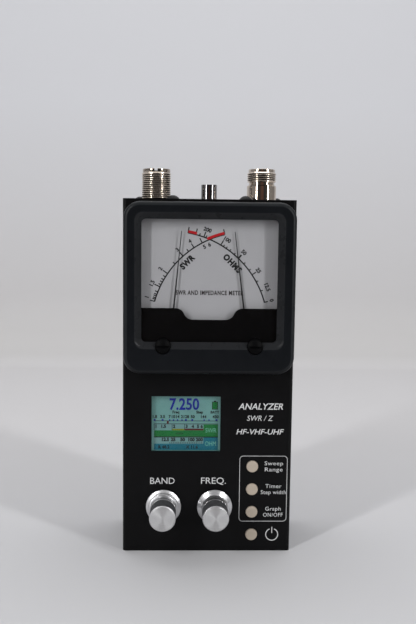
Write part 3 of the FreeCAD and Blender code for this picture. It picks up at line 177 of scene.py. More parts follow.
def case_paint(name):
    """Black powder coat: a fine orange-peel texture with tiny glints."""
    paint = plain(name, tone(12, 12, 13), 0.36, shade=0.12, cloud=90.0, Specular_IOR_Level=0.1)
    peel = paint.noise(2400.0)
    speck = paint.noise(7000.0, 2.0)
    paint.feed("Normal", paint.relief(speck, 0.006 * MM, paint.relief(peel, 0.02 * MM)))
    return paint.material


# Heights over the bezel's bottom where the painted shade at its foot fades out
FOOT_START, FOOT_STOP = 1.0, 6.0


def bezel_plastic(name, colour, roughness, foot=None):
    """Black moulding with a fine spark-eroded grain and faint flow marks.

    A darker colour may be painted at its foot as painted shade, where less light reaches the bottom.
    """
    paint = plain(name, colour, roughness, cloud=70.0, Specular_IOR_Level=0.1)
    # Painted shade: the colour darkens towards the moulding's foot
    if foot:
        rise = paint.spread(paint.along("Z"), 0.0, 1.0, (BEZEL_LOW + FOOT_START) * MM,
                            (BEZEL_LOW + FOOT_STOP) * MM)
        lit_colour = paint.shader.inputs["Base Color"].links[0].from_socket
        paint.feed("Base Color", paint.blend(rise, foot, lit_colour))
    grain = paint.noise(5200.0)
    flow = paint.noise(160.0, 2.0)
    paint.feed("Normal", paint.relief(grain, 0.006 * MM, paint.relief(flow, 0.02 * MM)))
    return paint.material


def clear_window(name):
    """Clear acrylic: see-through, with a mirror sheen on its outer faces that grows at a slant."""
    paint = Paint(name)
    smear = paint.spread(paint.noise(45.0), 0.015, 0.05)
    gloss = paint.add("BsdfGlossy", {"Roughness": smear, "Color": (1.0, 1.0, 1.0, 1.0)})
    clear = paint.add("BsdfTransparent", {"Color": (0.97, 0.98, 0.98, 1.0)})
    mirror = paint.add("Fresnel", {"IOR": 1.25}).outputs[0]
    outer = paint.maths("SUBTRACT", 1.0, paint.add("NewGeometry").outputs["Backfacing"])
    both = paint.add("MixShader", {0: paint.maths("MULTIPLY", mirror, outer),
                                   1: clear.outputs[0], 2: gloss.outputs[0]})
    output = paint.tree.nodes["Material Output"]
    paint.tree.links.new(both.outputs[0], output.inputs["Surface"])
    paint.tree.nodes.remove(paint.shader)
    return paint.material


def turned_metal(name, colour, roughness, groove, pitch, swirl=0.0):
    """Lathe-turned metal: tool marks round the piece's own axis; a swirl stretches highlights."""
    paint = Paint(name, Metallic=1.0)
    path = paint.maths("ADD", paint.off_axis(), paint.along("Z"))
    marks = paint.add("TexNoise", {"W": path, "Scale": 1 / (pitch * MM), "Detail": 4.0},
                      noise_dimensions="1D").outputs["Fac"]
    clouds = paint.spread(paint.noise(180.0))
    paint.feed("Base Color", paint.shades(clouds, colour, 0.95, 1.03))
    paint.feed("Roughness", paint.spread(marks, roughness * 0.8, roughness * 1.25))
    paint.feed("Normal", paint.relief(marks, groove * MM))
    if swirl:
        paint.shader.inputs["Anisotropic"].default_value = swirl
        paint.shader.inputs["Anisotropic Rotation"].default_value = 0.25
        paint.feed("Tangent", paint.add("Tangent", direction_type="RADIAL",
                                        axis="Z").outputs["Tangent"])
    return paint.material


# Depths below a thread's crest where the painted shade in the groove is full and where it ends
GROOVE_SHADE_DEPTH, GROOVE_LIT_DEPTH = 0.28, 0.08


def plated(name, colour, roughness, tarnish=0.08, crest=None):
    """Plated metal with faint tarnish and smears; below a thread's crest it is painted dark as shade in
    the groove.
    """
    paint = Paint(name, Metallic=1.0)
    film = paint.spread(paint.noise(220.0, 5.0))
    metal = paint.shades(film, colour, 1 - tarnish, 1 + tarnish / 2)
    # Painted shade: the thread's grooves are darkened almost to black
    if crest:
        out_of_shade = paint.spread(paint.off_axis(), 0.0, 1.0, (crest - GROOVE_SHADE_DEPTH) * MM,
                             (crest - GROOVE_LIT_DEPTH) * MM)
        metal = paint.blend(out_of_shade, scaled(colour, 0.04), metal)
    paint.feed("Base Color", metal)
    smear = paint.noise(880.0)
    paint.feed("Roughness", paint.spread(smear, roughness * 0.7, roughness * 1.5))
    paint.feed("Normal", paint.relief(paint.noise(900.0, 2.0), 0.0015 * MM))
    return paint.material


SCREEN_CELL = 0.12


def lit_screen(name, colour, glow):
    """A back-lit colour: faint rows and columns of cells, with a little light of its own."""
    paint = Paint(name, Emission_Strength=glow, Specular_IOR_Level=0.3)
    waves = {"Vector": paint.place, "Scale": 0.1 / (SCREEN_CELL * MM)}
    across, down = (paint.add("TexWave", waves, bands_direction=axis).outputs["Fac"]
                    for axis in ("X", "Z"))
    cells = paint.maths("MULTIPLY", across, down)
    unevenness = paint.maths("ADD", paint.maths("MULTIPLY", cells, 0.25),
                             paint.spread(paint.noise(130.0), 0.0, 0.75))
    made = paint.shades(unevenness, colour, 0.88, 1.1)
    paint.feed("Base Color", made)
    paint.feed("Emission Color", made)
    paint.feed("Roughness", paint.spread(paint.noise(500.0), 0.3, 0.42))
    return paint.material


def board_green(name):
    """Circuit board: solder mask over paler copper runs."""
    paint = Paint(name, Specular_IOR_Level=0.5)
    runs = paint.add("TexBrick", {"Vector": paint.place, "Scale": 400.0,
                                  "Mortar Size": 0.02}, offset=0.35).outputs["Fac"]
    paint.feed("Base Color", paint.shades(runs, tone(12, 84, 48), 0.8, 1.5))
    paint.feed("Roughness", paint.spread(paint.noise(300.0), 0.25, 0.4))
    paint.feed("Normal", paint.relief(runs, 0.03 * MM))
    return paint.material


def wound_copper(name):
    """Enamelled wire laid in close turns."""
    paint = Paint(name, Metallic=0.8)
    turns = paint.add("TexWave", {"Vector": paint.place, "Scale": 1200.0},
                      bands_direction="Y").outputs["Fac"]
    paint.feed("Base Color", paint.shades(turns, (0.62, 0.29, 0.15), 0.5, 1.0))
    paint.feed("Roughness", paint.spread(turns, 0.3, 0.5, 0.0, 1.0))
    paint.feed("Normal", paint.relief(turns, 0.03 * MM))
    return paint.material


def striped(name, first, second, size, roughness):
    """Even stripes across X, for a flat cable's wires or a cell's printed jacket."""
    paint = Paint(name)
    bands = paint.add("TexWave", {"Vector": paint.place, "Scale": 0.314 / (size * MM)},
                      bands_direction="X").outputs["Fac"]
    paint.feed("Base Color", paint.blend(bands, first, second))
    paint.feed("Roughness", paint.spread(paint.noise(200.0), roughness - 0.05, roughness + 0.05))
    return paint.material


GRIP_RADIUS = 6.85
KNURL_DEPTH = 0.3


def grip_black(name):
    """Dark knurled sleeve, painted paler on the diamonds' tips as a highlight, mottled by noise."""
    paint = Paint(name, Specular_IOR_Level=0.35)
    tips = paint.spread(paint.off_axis(), 0.0, 1.0, (GRIP_RADIUS - KNURL_DEPTH) * MM, GRIP_RADIUS * MM)
    dust = paint.noise(1500.0)
    # Painted highlight on the knurl's outermost tips
    tip_highlight = paint.maths("MULTIPLY", tips, paint.spread(dust, 0.3, 1.0))
    paint.feed("Base Color", paint.blend(tip_highlight, tone(12, 12, 14), tone(100, 101, 104)))
    paint.feed("Roughness", paint.spread(dust, 0.38, 0.55))
    return paint.material


def ink(name, colour):
    """Screen-printed ink with a slightly uneven film."""
    paint = plain(name, colour, 0.5, shade=0.05, cloud=700.0, grain=0.003, grain_size=0.08,
                  Specular_IOR_Level=0.35)
    return paint.material


THREAD_RADIUS = 7.94
NICKEL = (0.52, 0.455, 0.39)

looks = {
    "case_paint": case_paint("case_paint_black"),
    "black_screw": plain("black_zinc_screw", tone(24, 24, 25), 0.42, shade=0.15, cloud=900.0,
                         grain=0.004, grain_size=0.2, Specular_IOR_Level=0.2).material,
    "bezel_plastic": bezel_plastic("bezel_black_moulding", tone(18, 20, 23), 0.36),
    "clear_window": clear_window("window_acrylic"),
    "mask_black": plain("mask_matt_black", tone(6, 6, 7), 0.6, cloud=120.0,
                        Specular_IOR_Level=0.04).material,
    "dial_card": plain("dial_grey_card", tone(168, 165, 168), 0.62, shade=0.015, cloud=60.0,
                       grain=0.004, grain_size=0.12, Specular_IOR_Level=0.3).material,
    "dark_plastic": plain("inside_plastic", tone(48, 48, 50), 0.5, grain=0.01).material,
    "magnet": plain("cast_magnet", tone(92, 92, 96), 0.6, shade=0.2, grain=0.03, Metallic=0.7).material,
    "needle_black": plain("needle_lacquer", tone(34, 34, 35), 0.35, cloud=800.0).material,
    "copper_coil": wound_copper("coil_winding"),
    "bridge_brass": plated("bridge_brass", (0.56, 0.44, 0.2), 0.3),
    "adjuster_black": plain("adjuster_black", tone(6, 6, 7), 0.5, cloud=500.0,
                            Specular_IOR_Level=0.05).material,
    "lcd_glass": lit_screen("screen_teal", tone(90, 130, 127), 0.2),
    "board_green": board_green("board_laminate"),
    "component_black": plain("component_epoxy", tone(40, 40, 41), 0.55, grain=0.01).material,
    "zinc_steel": plated("zinc_plate", (0.5, 0.5, 0.49), 0.3, 0.15),
    "button_beige": plain("button_beige", tone(176, 164, 149), 0.5, shade=0.04, cloud=400.0,
                          grain=0.006, grain_size=0.2).material,
    "knob_aluminium": turned_metal("aluminium_turned", (0.68, 0.68, 0.68), 0.3, 0.0016, 0.05, 0.88),
    "grip_black": grip_black("grip_knurled"),
    "nickel": plated("nickel_plate", NICKEL, 0.09, 0.12),
    "white_insulator": plain("insulator_white", tone(214, 211, 202), 0.4, shade=0.04).material,
    "gold_contact": plated("contact_gold", (0.78, 0.56, 0.22), 0.2),
    "bright_chrome": plated("chrome_polished", (0.265, 0.26, 0.265), 0.06, 0.05),
    "cell_jacket": striped("cell_jacket", tone(60, 70, 92), tone(120, 124, 132), 6.0, 0.35),
    "ribbon_grey": striped("ribbon_cable", tone(120, 120, 121), tone(165, 165, 166), 1.27, 0.45),
}
# Painted highlight: the sloping band is a lighter, slightly glossier copy of the moulding
band_highlight_plastic = bezel_plastic("bezel_smooth_band_painted_highlight", tone(36, 37, 39), 0.3)
# Painted highlight: the bezel's outer rim is a lighter copy of the moulding, with painted shade at its
# foot
rim_highlight_plastic = bezel_plastic("bezel_rim_painted_highlight", tone(34, 36, 38), 0.33, foot=tone(24, 25, 27))
polished = turned_metal("aluminium_polished", (0.66, 0.66, 0.67), 0.24, 0.0006, 0.08)
satin = turned_metal("aluminium_satin", (0.68, 0.68, 0.69), 0.36, 0.0012, 0.06)
# The thread's copy of the plate: painted lighter than the plain nickel, with painted shade in its
# grooves
nickel_thread_painted_shade = plated("nickel_thread_painted_shade", scaled(NICKEL, 1.65), 0.2, crest=THREAD_RADIUS)
bright_nickel = plated("nickel_plate_bright", scaled(NICKEL, 1.35), 0.08, 0.1)

for row in frame["record"]["subparts"]:
    node = frame["nodes"][row["node"]]
    node.data.materials.clear()
    node.data.materials.append(looks[row["material_slot"]])


# Making pieces

def as_object(name, mesh, body, material, place=None):
    """A mesh as a piece that rides on a body, smooth except at its sharp edges."""
    mesh.shade_smooth()
    mesh.set_sharp_from_angle(angle=SHARP)
    piece = bpy.data.objects.new(name, mesh)
    if place is not None:
        piece.matrix_world = place
    scene.collection.objects.link(piece)
    mesh.materials.clear()
    mesh.materials.append(material)
    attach(piece, body)
    return piece


def closed_off(name, made):
    """A bmesh as a new mesh, with its faces turned outward."""
    bmesh.ops.recalc_face_normals(made, faces=made.faces)
    mesh = bpy.data.meshes.new(name)
    made.to_mesh(mesh)
    made.free()
    return mesh


def mesh_of(name, build):
    """A new mesh from a bmesh that the callback fills."""
    made = bmesh.new()
    build(made)
    return closed_off(name, made)


def wrap(made, first, second):
    """Faces all round between two rings of as many points."""
    for place, (one, two) in enumerate(zip(first, second)):
        ahead = (place + 1) % len(first)
        made.faces.new([one, first[ahead], second[ahead], two])


FILLET_STEPS = 5


def filleted(points):
    """A profile of (radius, height) corners; (radius, height, fillet) rounds that corner."""
    rounded = []
    for place, point in enumerate(points):
        here = Vector(point[:2])
        if len(point) == 2 or not 0 < place < len(points) - 1:
            rounded.append(here)
            continue
        before = (Vector(points[place - 1][:2]) - here).normalized()
        after = (Vector(points[place + 1][:2]) - here).normalized()
        half = before.angle(after) / 2
        reach = point[2] / math.tan(half)
        centre = here + (before + after).normalized() * (point[2] / math.sin(half))
        start = here + before * reach - centre
        stop = here + after * reach - centre
        for step in range(FILLET_STEPS + 1):
            way = start.lerp(stop, step / FILLET_STEPS).normalized() * point[2]
            rounded.append(centre + way)
    return rounded


def turned(name, profile, closed=False, relief=None, segments=FINE):
    """A profile turned around Z; relief(angle, height, radius) may give it another radius."""
    points = filleted(profile)

    def build(made):
        rings = []
        for radius, height in points:
            if radius < 1e-6:
                rings.append([made.verts.new((0, 0, height * MM))])
                continue
            ring = []
            for step in range(segments):
                angle = math.tau * step / segments
                out = relief(angle, height, radius) if relief else radius
                ring.append(made.verts.new((out * math.cos(angle) * MM,
                                            out * math.sin(angle) * MM, height * MM)))
            rings.append(ring)
        pairs = list(zip(rings, rings[1:]))
        if closed:
            pairs.append((rings[-1], rings[0]))
        for first, second in pairs:
            if len(first) == len(second) == 1:
                continue
            for step in range(segments):
                ahead = (step + 1) % segments
                near = [first[step], first[ahead]] if len(first) > 1 else first
                far = [second[ahead], second[step]] if len(second) > 1 else second
                made.faces.new(near + far)

    return mesh_of(name, build)


def outward(x, z):
    """The place on the front panel of a piece whose own Z points at the viewer."""
    flat = Matrix.Translation(Vector((x, CASE_FACE, z)) * MM)
    return flat @ Matrix.Rotation(math.pi / 2, 4, "X")


def upright(x, y, z):
    """The place of a piece that stands up."""
    return Matrix.Translation(Vector((x, y, z)) * MM)


def curve_mesh(curve):
    """A curve or text as a mesh with its seams joined."""
    holder = bpy.data.objects.new("holder", curve)
    scene.collection.objects.link(holder)
    graph = bpy.context.evaluated_depsgraph_get()
    mesh = bpy.data.meshes.new_from_object(holder.evaluated_get(graph))
    bpy.data.objects.remove(holder)
    bpy.data.curves.remove(curve)
    made = bmesh.new()
    made.from_mesh(mesh)
    bmesh.ops.remove_doubles(made, verts=made.verts, dist=1e-7)
    made.to_mesh(mesh)
    made.free()
    return mesh


def plate(name, loops, low, high):
    """A flat plate between two heights; the first loop is its outline, the rest are holes."""
    curve = bpy.data.curves.new(name, "CURVE")
    curve.dimensions = "2D"
    curve.fill_mode = "BOTH"
    curve.extrude = (high - low) / 2 * MM
    for loop in loops:
        spline = curve.splines.new("POLY")
        spline.points.add(len(loop) - 1)
        spline.use_cyclic_u = True
        for point, (x, y) in zip(spline.points, loop):
            point.co = (x * MM, y * MM, 0, 1)
    mesh = curve_mesh(curve)
    mesh.transform(Matrix.Translation((0, 0, (low + high) / 2 * MM)))
    return mesh


def spot(centre, radius, degrees):
    """A point on a circle in the printed plane."""
    angle = math.radians(degrees)
    return centre[0] + radius * math.cos(angle), centre[1] + radius * math.sin(angle)


def ring_loop(radius, x=0.0, y=0.0, segments=48):
    """Points around a circle."""
    return [spot((x, y), radius, 360 * step / segments) for step in range(segments)]


def rounded_rectangle(left, low, right, high, radius):
    """Points round a rectangle with rounded corners."""
    steps = 6
    corners = ((right - radius, high - radius), (left + radius, high - radius),
               (left + radius, low + radius), (right - radius, low + radius))
    return [spot(corner, radius, 90 * (quarter + step / steps))
            for quarter, corner in enumerate(corners) for step in range(steps + 1)]


def joined(name, meshes):
    """Several meshes as one."""
    made = bmesh.new()
    for mesh in meshes:
        made.from_mesh(mesh)
    whole = bpy.data.meshes.new(name)
    made.to_mesh(whole)
    made.free()
    return whole


def carved(mesh, tools):
    """A mesh with other meshes cut out of it."""
    block = bpy.data.objects.new("block", mesh)
    scene.collection.objects.link(block)
    holders = []
    for tool in tools:
        holders.append(bpy.data.objects.new("tool", tool))
        scene.collection.objects.link(holders[-1])
        step = block.modifiers.new("carve", "BOOLEAN")
        step.operation = "DIFFERENCE"
        step.solver = "EXACT"
        step.object = holders[-1]
    bpy.context.view_layer.update()
    graph = bpy.context.evaluated_depsgraph_get()
    result = bpy.data.meshes.new_from_object(block.evaluated_get(graph))
    for holder in (block, *holders):
        bpy.data.objects.remove(holder)
    return result


def box_mesh(name, low, high, turn):
    """A box between two corners, turned about Z."""
    middle = (Vector(low) + Vector(high)) / 2 * MM
    span = (Vector(high) - Vector(low)) * MM
    spin = Matrix.Rotation(math.radians(turn), 4, "Z")
    place = spin @ Matrix.LocRotScale(middle, None, span)
    return mesh_of(name, lambda made: bmesh.ops.create_cube(made, size=1.0, matrix=place))


# Meter bezel

OPENING_SIDE, OPENING_LOW, OPENING_HIGH, OPENING_CORNER = 35.15, 115.0, 178.45, 2.2
BAND_WIDE, BAND_DEEP, BAND_PAST, BAND_CORNER = 3.4, 1.6, 0.3, 4.6
BAND_SLOPE = (-0.97, -0.7)
RIM_SLOPE = (-0.995, -0.02)


def opening_loop(grow, corner):
    """The meter's opening, made larger all round, as points on the front."""
    return rounded_rectangle(-OPENING_SIDE - grow, OPENING_LOW - grow, OPENING_SIDE + grow,
                             OPENING_HIGH + grow, corner)


def band_cutter():
    """A tapered block as wide as the sloping band at its front and as the opening behind it."""
    past = BAND_WIDE / BAND_DEEP * BAND_PAST
    loops = [(BEZEL_FACE - BAND_PAST, opening_loop(BAND_WIDE + past, BAND_CORNER)),
             (BEZEL_FACE + BAND_DEEP + BAND_PAST,
              opening_loop(-past, OPENING_CORNER - past / 2))]

    def build(made):
        front, back = ([made.verts.new(Vector((x, y, z)) * MM) for x, z in loop]
                       for y, loop in loops)
        wrap(made, front, back)
        made.faces.new(front)
        made.faces.new(back[::-1])

    return mesh_of("band_cutter", build)


bezel_node = frame["nodes"]["meter_bezel"]
moulding = bezel_node.data.copy()
moulding.transform(bezel_node.matrix_world)
bezel = as_object("bezel_moulding", carved(moulding, [band_cutter()]), "case",
                  looks["bezel_plastic"])
bezel.data.set_sharp_from_angle(angle=BEZEL_SHARP)
bezel.data.materials.append(band_highlight_plastic)
bezel.data.materials.append(rim_highlight_plastic)
# Lighter copies of the moulding as painted highlight: index 1 on the sloping band round the opening,
# index 2 on the outer rim
for face in bezel.data.polygons:
    x, z = face.center.x / MM, face.center.z / MM
    inside = (abs(x) < OPENING_SIDE + BAND_WIDE
              and OPENING_LOW - BAND_WIDE < z < OPENING_HIGH + BAND_WIDE)
    if inside and BAND_SLOPE[0] < face.normal.y < BAND_SLOPE[1]:
        face.material_index = 1
    elif not inside and RIM_SLOPE[0] < face.normal.y < RIM_SLOPE[1]:
        face.material_index = 2
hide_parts("meter_bezel")


# Sockets on the top panel, with a 5/8 inch 24 UNEF thread

THREAD_PITCH, THREAD_DEPTH, THREAD_FADE = 1.058, 0.5, 0.5
ROWS_PER_TURN = 16
FLANGE_HALF, FLANGE_THICK = 12.7, 1.6
SCREW_SPREAD, SCREW_HOLE = 9.13, 1.54

# How far a point or a facet's middle may miss a radius and still be on that surface
TOUCH, FACET_SAG = 0.01, 0.05


def thread(low, high):
    """A right-hand screw thread between two heights, as the turned profile's relief."""
    def relief(angle, height, radius):
        if radius < THREAD_RADIUS - TOUCH or not low < height < high:
            return radius
        share = (height / THREAD_PITCH - angle / math.tau) % 1
        groove = ((1 - math.cos(math.tau * share)) / 2) ** 1.5
        fade = min(1.0, (height - low) / THREAD_FADE, (high - height) / THREAD_FADE)
        return radius - THREAD_DEPTH * groove * fade
    return relief


def thread_rows(low, high):
    """Profile points close enough together to show the thread."""
    count = round((high - low) / THREAD_PITCH * ROWS_PER_TURN)
    return [(THREAD_RADIUS, low + (high - low) * step / count) for step in range(count + 1)]


def flange(bore, inward):
    """The square flange under the panel, with its two screw holes, below height 0."""
    square = [(x * FLANGE_HALF, y * FLANGE_HALF) for x, y in ((-1, -1), (1, -1), (1, 1), (-1, 1))]
    holes = [ring_loop(SCREW_HOLE, side * inward * SCREW_SPREAD, -side * SCREW_SPREAD)
             for side in (1, -1)]
    return plate("flange", [square, ring_loop(bore, segments=FINE), *holes], -FLANGE_THICK, 0.0)


def socket(name, node, look, profile, rows, bore, inward, notches=()):
    """A socket shell, threaded between two heights, in place of its CAD node."""
    low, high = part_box(node)
    barrel = turned(name, profile, closed=True, relief=thread(*rows))
    if notches:
        barrel = carved(barrel, notches)
    shell = joined(name, [barrel, flange(bore, inward)])
    centre = (low + high) / 2 / MM
    piece = as_object(name, shell, "case", look,
                      upright(centre.x, centre.y, low.z / MM + FLANGE_THICK))
    # Thread faces get the nickel copy with painted shade in the grooves
    piece.data.materials.append(nickel_thread_painted_shade)
    for face in piece.data.polygons:
        outside = face.center.xy.length > (THREAD_RADIUS - THREAD_DEPTH - FACET_SAG) * MM
        face.material_index = int(outside and rows[0] * MM < face.center.z < rows[1] * MM)
    shared = Counter(key for face in piece.data.polygons if face.material_index
                     for key in face.edge_keys)
    for edge in piece.data.edges:
        if shared[edge.key] == 2:
            edge.use_edge_sharp = False
    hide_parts(node)
    return centre.x


SO239_LOW, SO239_NECK, SO239_TOP = 1.8, 16.0, 18.4
SO239_BORE, SO239_FOOT, SO239_RIM = 6.1, 7.6, 7.5
NOTCH_HALF, NOTCH_DEEP, NOTCH_REACH = 0.8, 1.3, 9.0
notches = [box_mesh("notch", (-NOTCH_REACH, -NOTCH_HALF, SO239_TOP - NOTCH_DEEP),
                    (NOTCH_REACH, NOTCH_HALF, SO239_TOP + 1.0), turn) for turn in (0.0, 90.0)]
so239_x = socket("so239_threaded_shell", "so239_shell", looks["nickel"], [
    (SO239_BORE, 0.0), (SO239_FOOT, 0.0), (SO239_FOOT, SO239_LOW),
    *thread_rows(SO239_LOW, SO239_NECK), (SO239_RIM - 0.1, SO239_NECK + 0.55),
    (SO239_RIM, SO239_NECK + 0.75), (SO239_RIM, SO239_TOP, 0.3),
    (SO239_BORE, SO239_TOP, 0.25), (SO239_BORE, SO239_TOP - 1.0)],
    (SO239_LOW, SO239_NECK), SO239_BORE, 1, notches)

N_SHOULDER, N_NECK, N_THREAD, N_TOP = 10.3, 12.1, 16.6, 18.9
N_BORE, N_BARREL, N_GROOVE, N_RIM = 4.3, 8.0, 7.0, 7.2
n_x = socket("n_threaded_shell", "n_shell", bright_nickel, [
    (N_BORE, 0.0), (N_BARREL, 0.0), (N_BARREL, N_SHOULDER - 0.5),
    (N_BARREL - 0.5, N_SHOULDER, 0.1), (N_GROOVE, N_SHOULDER), (N_GROOVE, N_NECK - 0.3),
    *thread_rows(N_NECK, N_THREAD), (N_RIM + 0.1, N_THREAD + 0.55), (N_RIM, N_THREAD + 0.7),
    (N_RIM, N_TOP, 0.3), (N_BORE + 1.1, N_TOP, 0.15), (N_BORE, N_TOP - 2.0)],
    (N_NECK, N_THREAD), N_BORE, -1)


def domed_screw(x, y):
    """A round-head screw with a cross recess, its head standing on height 0."""
    radius, rim, rise, steps = 3.8, 0.35, 2.6, 8
    shank, reach = 1.5, -7.0
    cross_long, cross_half, cross_deep = 1.9, 0.45, 1.3
    ball = (radius ** 2 + (rise - rim) ** 2) / (2 * (rise - rim))
    widest = math.asin(radius / ball)
    dome = [(ball * math.sin(widest * (1 - step / steps)),
             rise - ball + ball * math.cos(widest * (1 - step / steps)))
            for step in range(steps + 1)]
    blank = turned("screw", [(0, reach), (shank, reach), (shank, 0.0), (radius, 0.0), *dome])
    cross = [box_mesh("cross", (-cross_long, -cross_half, rise - cross_deep),
                      (cross_long, cross_half, rise + 1.0), turn) for turn in (25.0, 115.0)]
    screw = carved(blank, cross)
    screw.transform(upright(x, y, 0))
    return screw


screws = joined("flange_screws_domed", [
    domed_screw(axis + side * inward * SCREW_SPREAD, -side * SCREW_SPREAD)
    for axis, inward in ((so239_x, 1), (n_x, -1)) for side in (1, -1)])
screws = as_object("flange_screws_domed", screws, "case", looks["black_screw"],
                   upright(0, 0, CASE_TOP))
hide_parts("flange_screws")


# Selector, push buttons and knobs

SELECT_RADIUS, SELECT_RISE, SELECT_STEM, SELECT_FOOT = 4.35, 8.9, 2.6, -5.5
selector = as_object("select_cap", turned("select_cap", [
    (0, SELECT_FOOT), (SELECT_STEM, SELECT_FOOT), (SELECT_STEM, 0.0), (SELECT_RADIUS, 0.0),
    (SELECT_RADIUS, SELECT_RISE, 0.4), (0, SELECT_RISE)]),
    "selector", looks["bright_chrome"], upright(0, 0, CASE_TOP))
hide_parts("select_button")

KEY_RADIUS, KEY_RISE, KEY_ROUND, KEY_DISH = 3.15, 0.9, 0.42, 0.84
KEY_STEM, KEY_COLLAR = 1.7, 4.2
KEY_FOOT, KEY_COLLAR_LOW, KEY_COLLAR_HIGH = -4.4, -2.3, -1.5
for key in ("power", "graph", "width", "sweep"):
    low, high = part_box(f"{key}_button")
    centre = (low + high) / 2 / MM
    cap = as_object(f"{key}_cap", turned(f"{key}_cap", [
        (0, KEY_FOOT), (KEY_STEM, KEY_FOOT), (KEY_STEM, KEY_COLLAR_LOW),
        (KEY_COLLAR, KEY_COLLAR_LOW), (KEY_COLLAR, KEY_COLLAR_HIGH),
        (KEY_RADIUS, KEY_COLLAR_HIGH), (KEY_RADIUS, KEY_RISE, KEY_ROUND), (2.3, 0.86),
        (0, KEY_DISH)]),
        f"{key}_key", looks["button_beige"], outward(centre.x, centre.z))
    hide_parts(f"{key}_button")

# The knobs: heights from the panel, radii from their axes
SKIRT, SKIRT_RIM, COLLAR, CORE = 9.4, 1.3, 7.0, 5.95
KNOB_LOW, KNOB_FACE = 0.7, 18.75
HOLLOW, HOLLOW_TOP = 6.1, 4.2
SHAFT_BORE, BORE_TOP = 3.02, 15.0
SET_SCREW = 6.6
GRIP_LOW, GRIP_HIGH, GRIP_BORE = 8.8, 17.9, 5.97
KNURLS, KNURL_STEPS, KNURL_FADE = 40, 6, 0.3
KNURL_SIZE = math.tau * GRIP_RADIUS / KNURLS


def knurl(angle, height, radius):
    """Diamond knurling on the sleeve's outside."""
    inside = min(height - GRIP_LOW, GRIP_HIGH - height)
    if radius < GRIP_RADIUS - TOUCH:
        return radius
    around = angle / math.tau * KNURLS
    along = (height - GRIP_LOW) / KNURL_SIZE
    peaks = [1 - abs(2 * ((around + side * along) % 1) - 1) for side in (1, -1)]
    height_share = min(1.0, 1.5 * min(peaks))
    return radius - KNURL_DEPTH * (1 - height_share) * min(1.0, inside / KNURL_FADE)


def knob(dial, skirt, skirt_look):
    """A turned knob, its knurled sleeve and the hole for its set screw."""
    low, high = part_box(f"{dial}_knob")
    centre = (low + high) / 2 / MM
    place = outward(centre.x, centre.z)
    body = f"{dial}_dial"
    core = turned(f"{dial}_knob_turned", [
        (HOLLOW, KNOB_LOW), (SKIRT, KNOB_LOW), (SKIRT, SKIRT_RIM, 0.15), *skirt,
        (COLLAR, GRIP_LOW, 0.2), (CORE, GRIP_LOW), (CORE, GRIP_HIGH), (GRIP_RADIUS, GRIP_HIGH),
        (GRIP_RADIUS, KNOB_FACE - 0.5, 0.08), (GRIP_RADIUS - 0.5, KNOB_FACE, 0.12),
        (0, KNOB_FACE), (0, BORE_TOP), (SHAFT_BORE, BORE_TOP), (SHAFT_BORE, HOLLOW_TOP),
        (HOLLOW, HOLLOW_TOP)], closed=True, segments=128)
    start, stop = SHAFT_BORE - 0.12, COLLAR + 1.0
    hole = turned("hole", [(0, start), (SCREW_HOLE, start), (SCREW_HOLE, stop), (0, stop)], segments=32)
    hole.transform(Matrix.Translation((0, 0, SET_SCREW * MM)) @ Matrix.Rotation(math.pi / 2, 4, "X"))
    core = carved(core, [hole])
    piece = as_object(f"{dial}_knob_turned", core, body, skirt_look, place)
    piece.data.materials.append(looks["knob_aluminium"])
    for face in piece.data.polygons:
        if face.center.z > (KNOB_FACE - TOUCH) * MM and face.normal.z > 0.95:
            face.material_index = 1
    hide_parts(f"{dial}_knob")
    rows = round((GRIP_HIGH - GRIP_LOW) / KNURL_SIZE * KNURL_STEPS)
    wall = [(GRIP_RADIUS, GRIP_LOW + (GRIP_HIGH - GRIP_LOW) * row / rows) for row in range(rows + 1)]
    sleeve = turned(f"{dial}_sleeve", [(GRIP_BORE, GRIP_LOW), *wall, (GRIP_BORE, GRIP_HIGH)],
                    closed=True, relief=knurl, segments=KNURLS * KNURL_STEPS)
    grip = as_object(f"{dial}_grip_knurled", sleeve, body, looks["grip_black"], place)
    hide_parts(f"{dial}_grip")


knob("band", [(8.1, 2.15, 0.1), (8.0, 2.05, 0.1), (7.75, 2.75, 0.15), (COLLAR, 3.0, 0.2),
              (COLLAR, 4.6), (6.85, 4.75), (COLLAR, 4.9)], satin)
knob("freq", [(COLLAR, 3.0, 0.3)], polished)


# Printing

FILM = 0.02
FILM_SINK = 0.002
ARC_STEP = 1.5


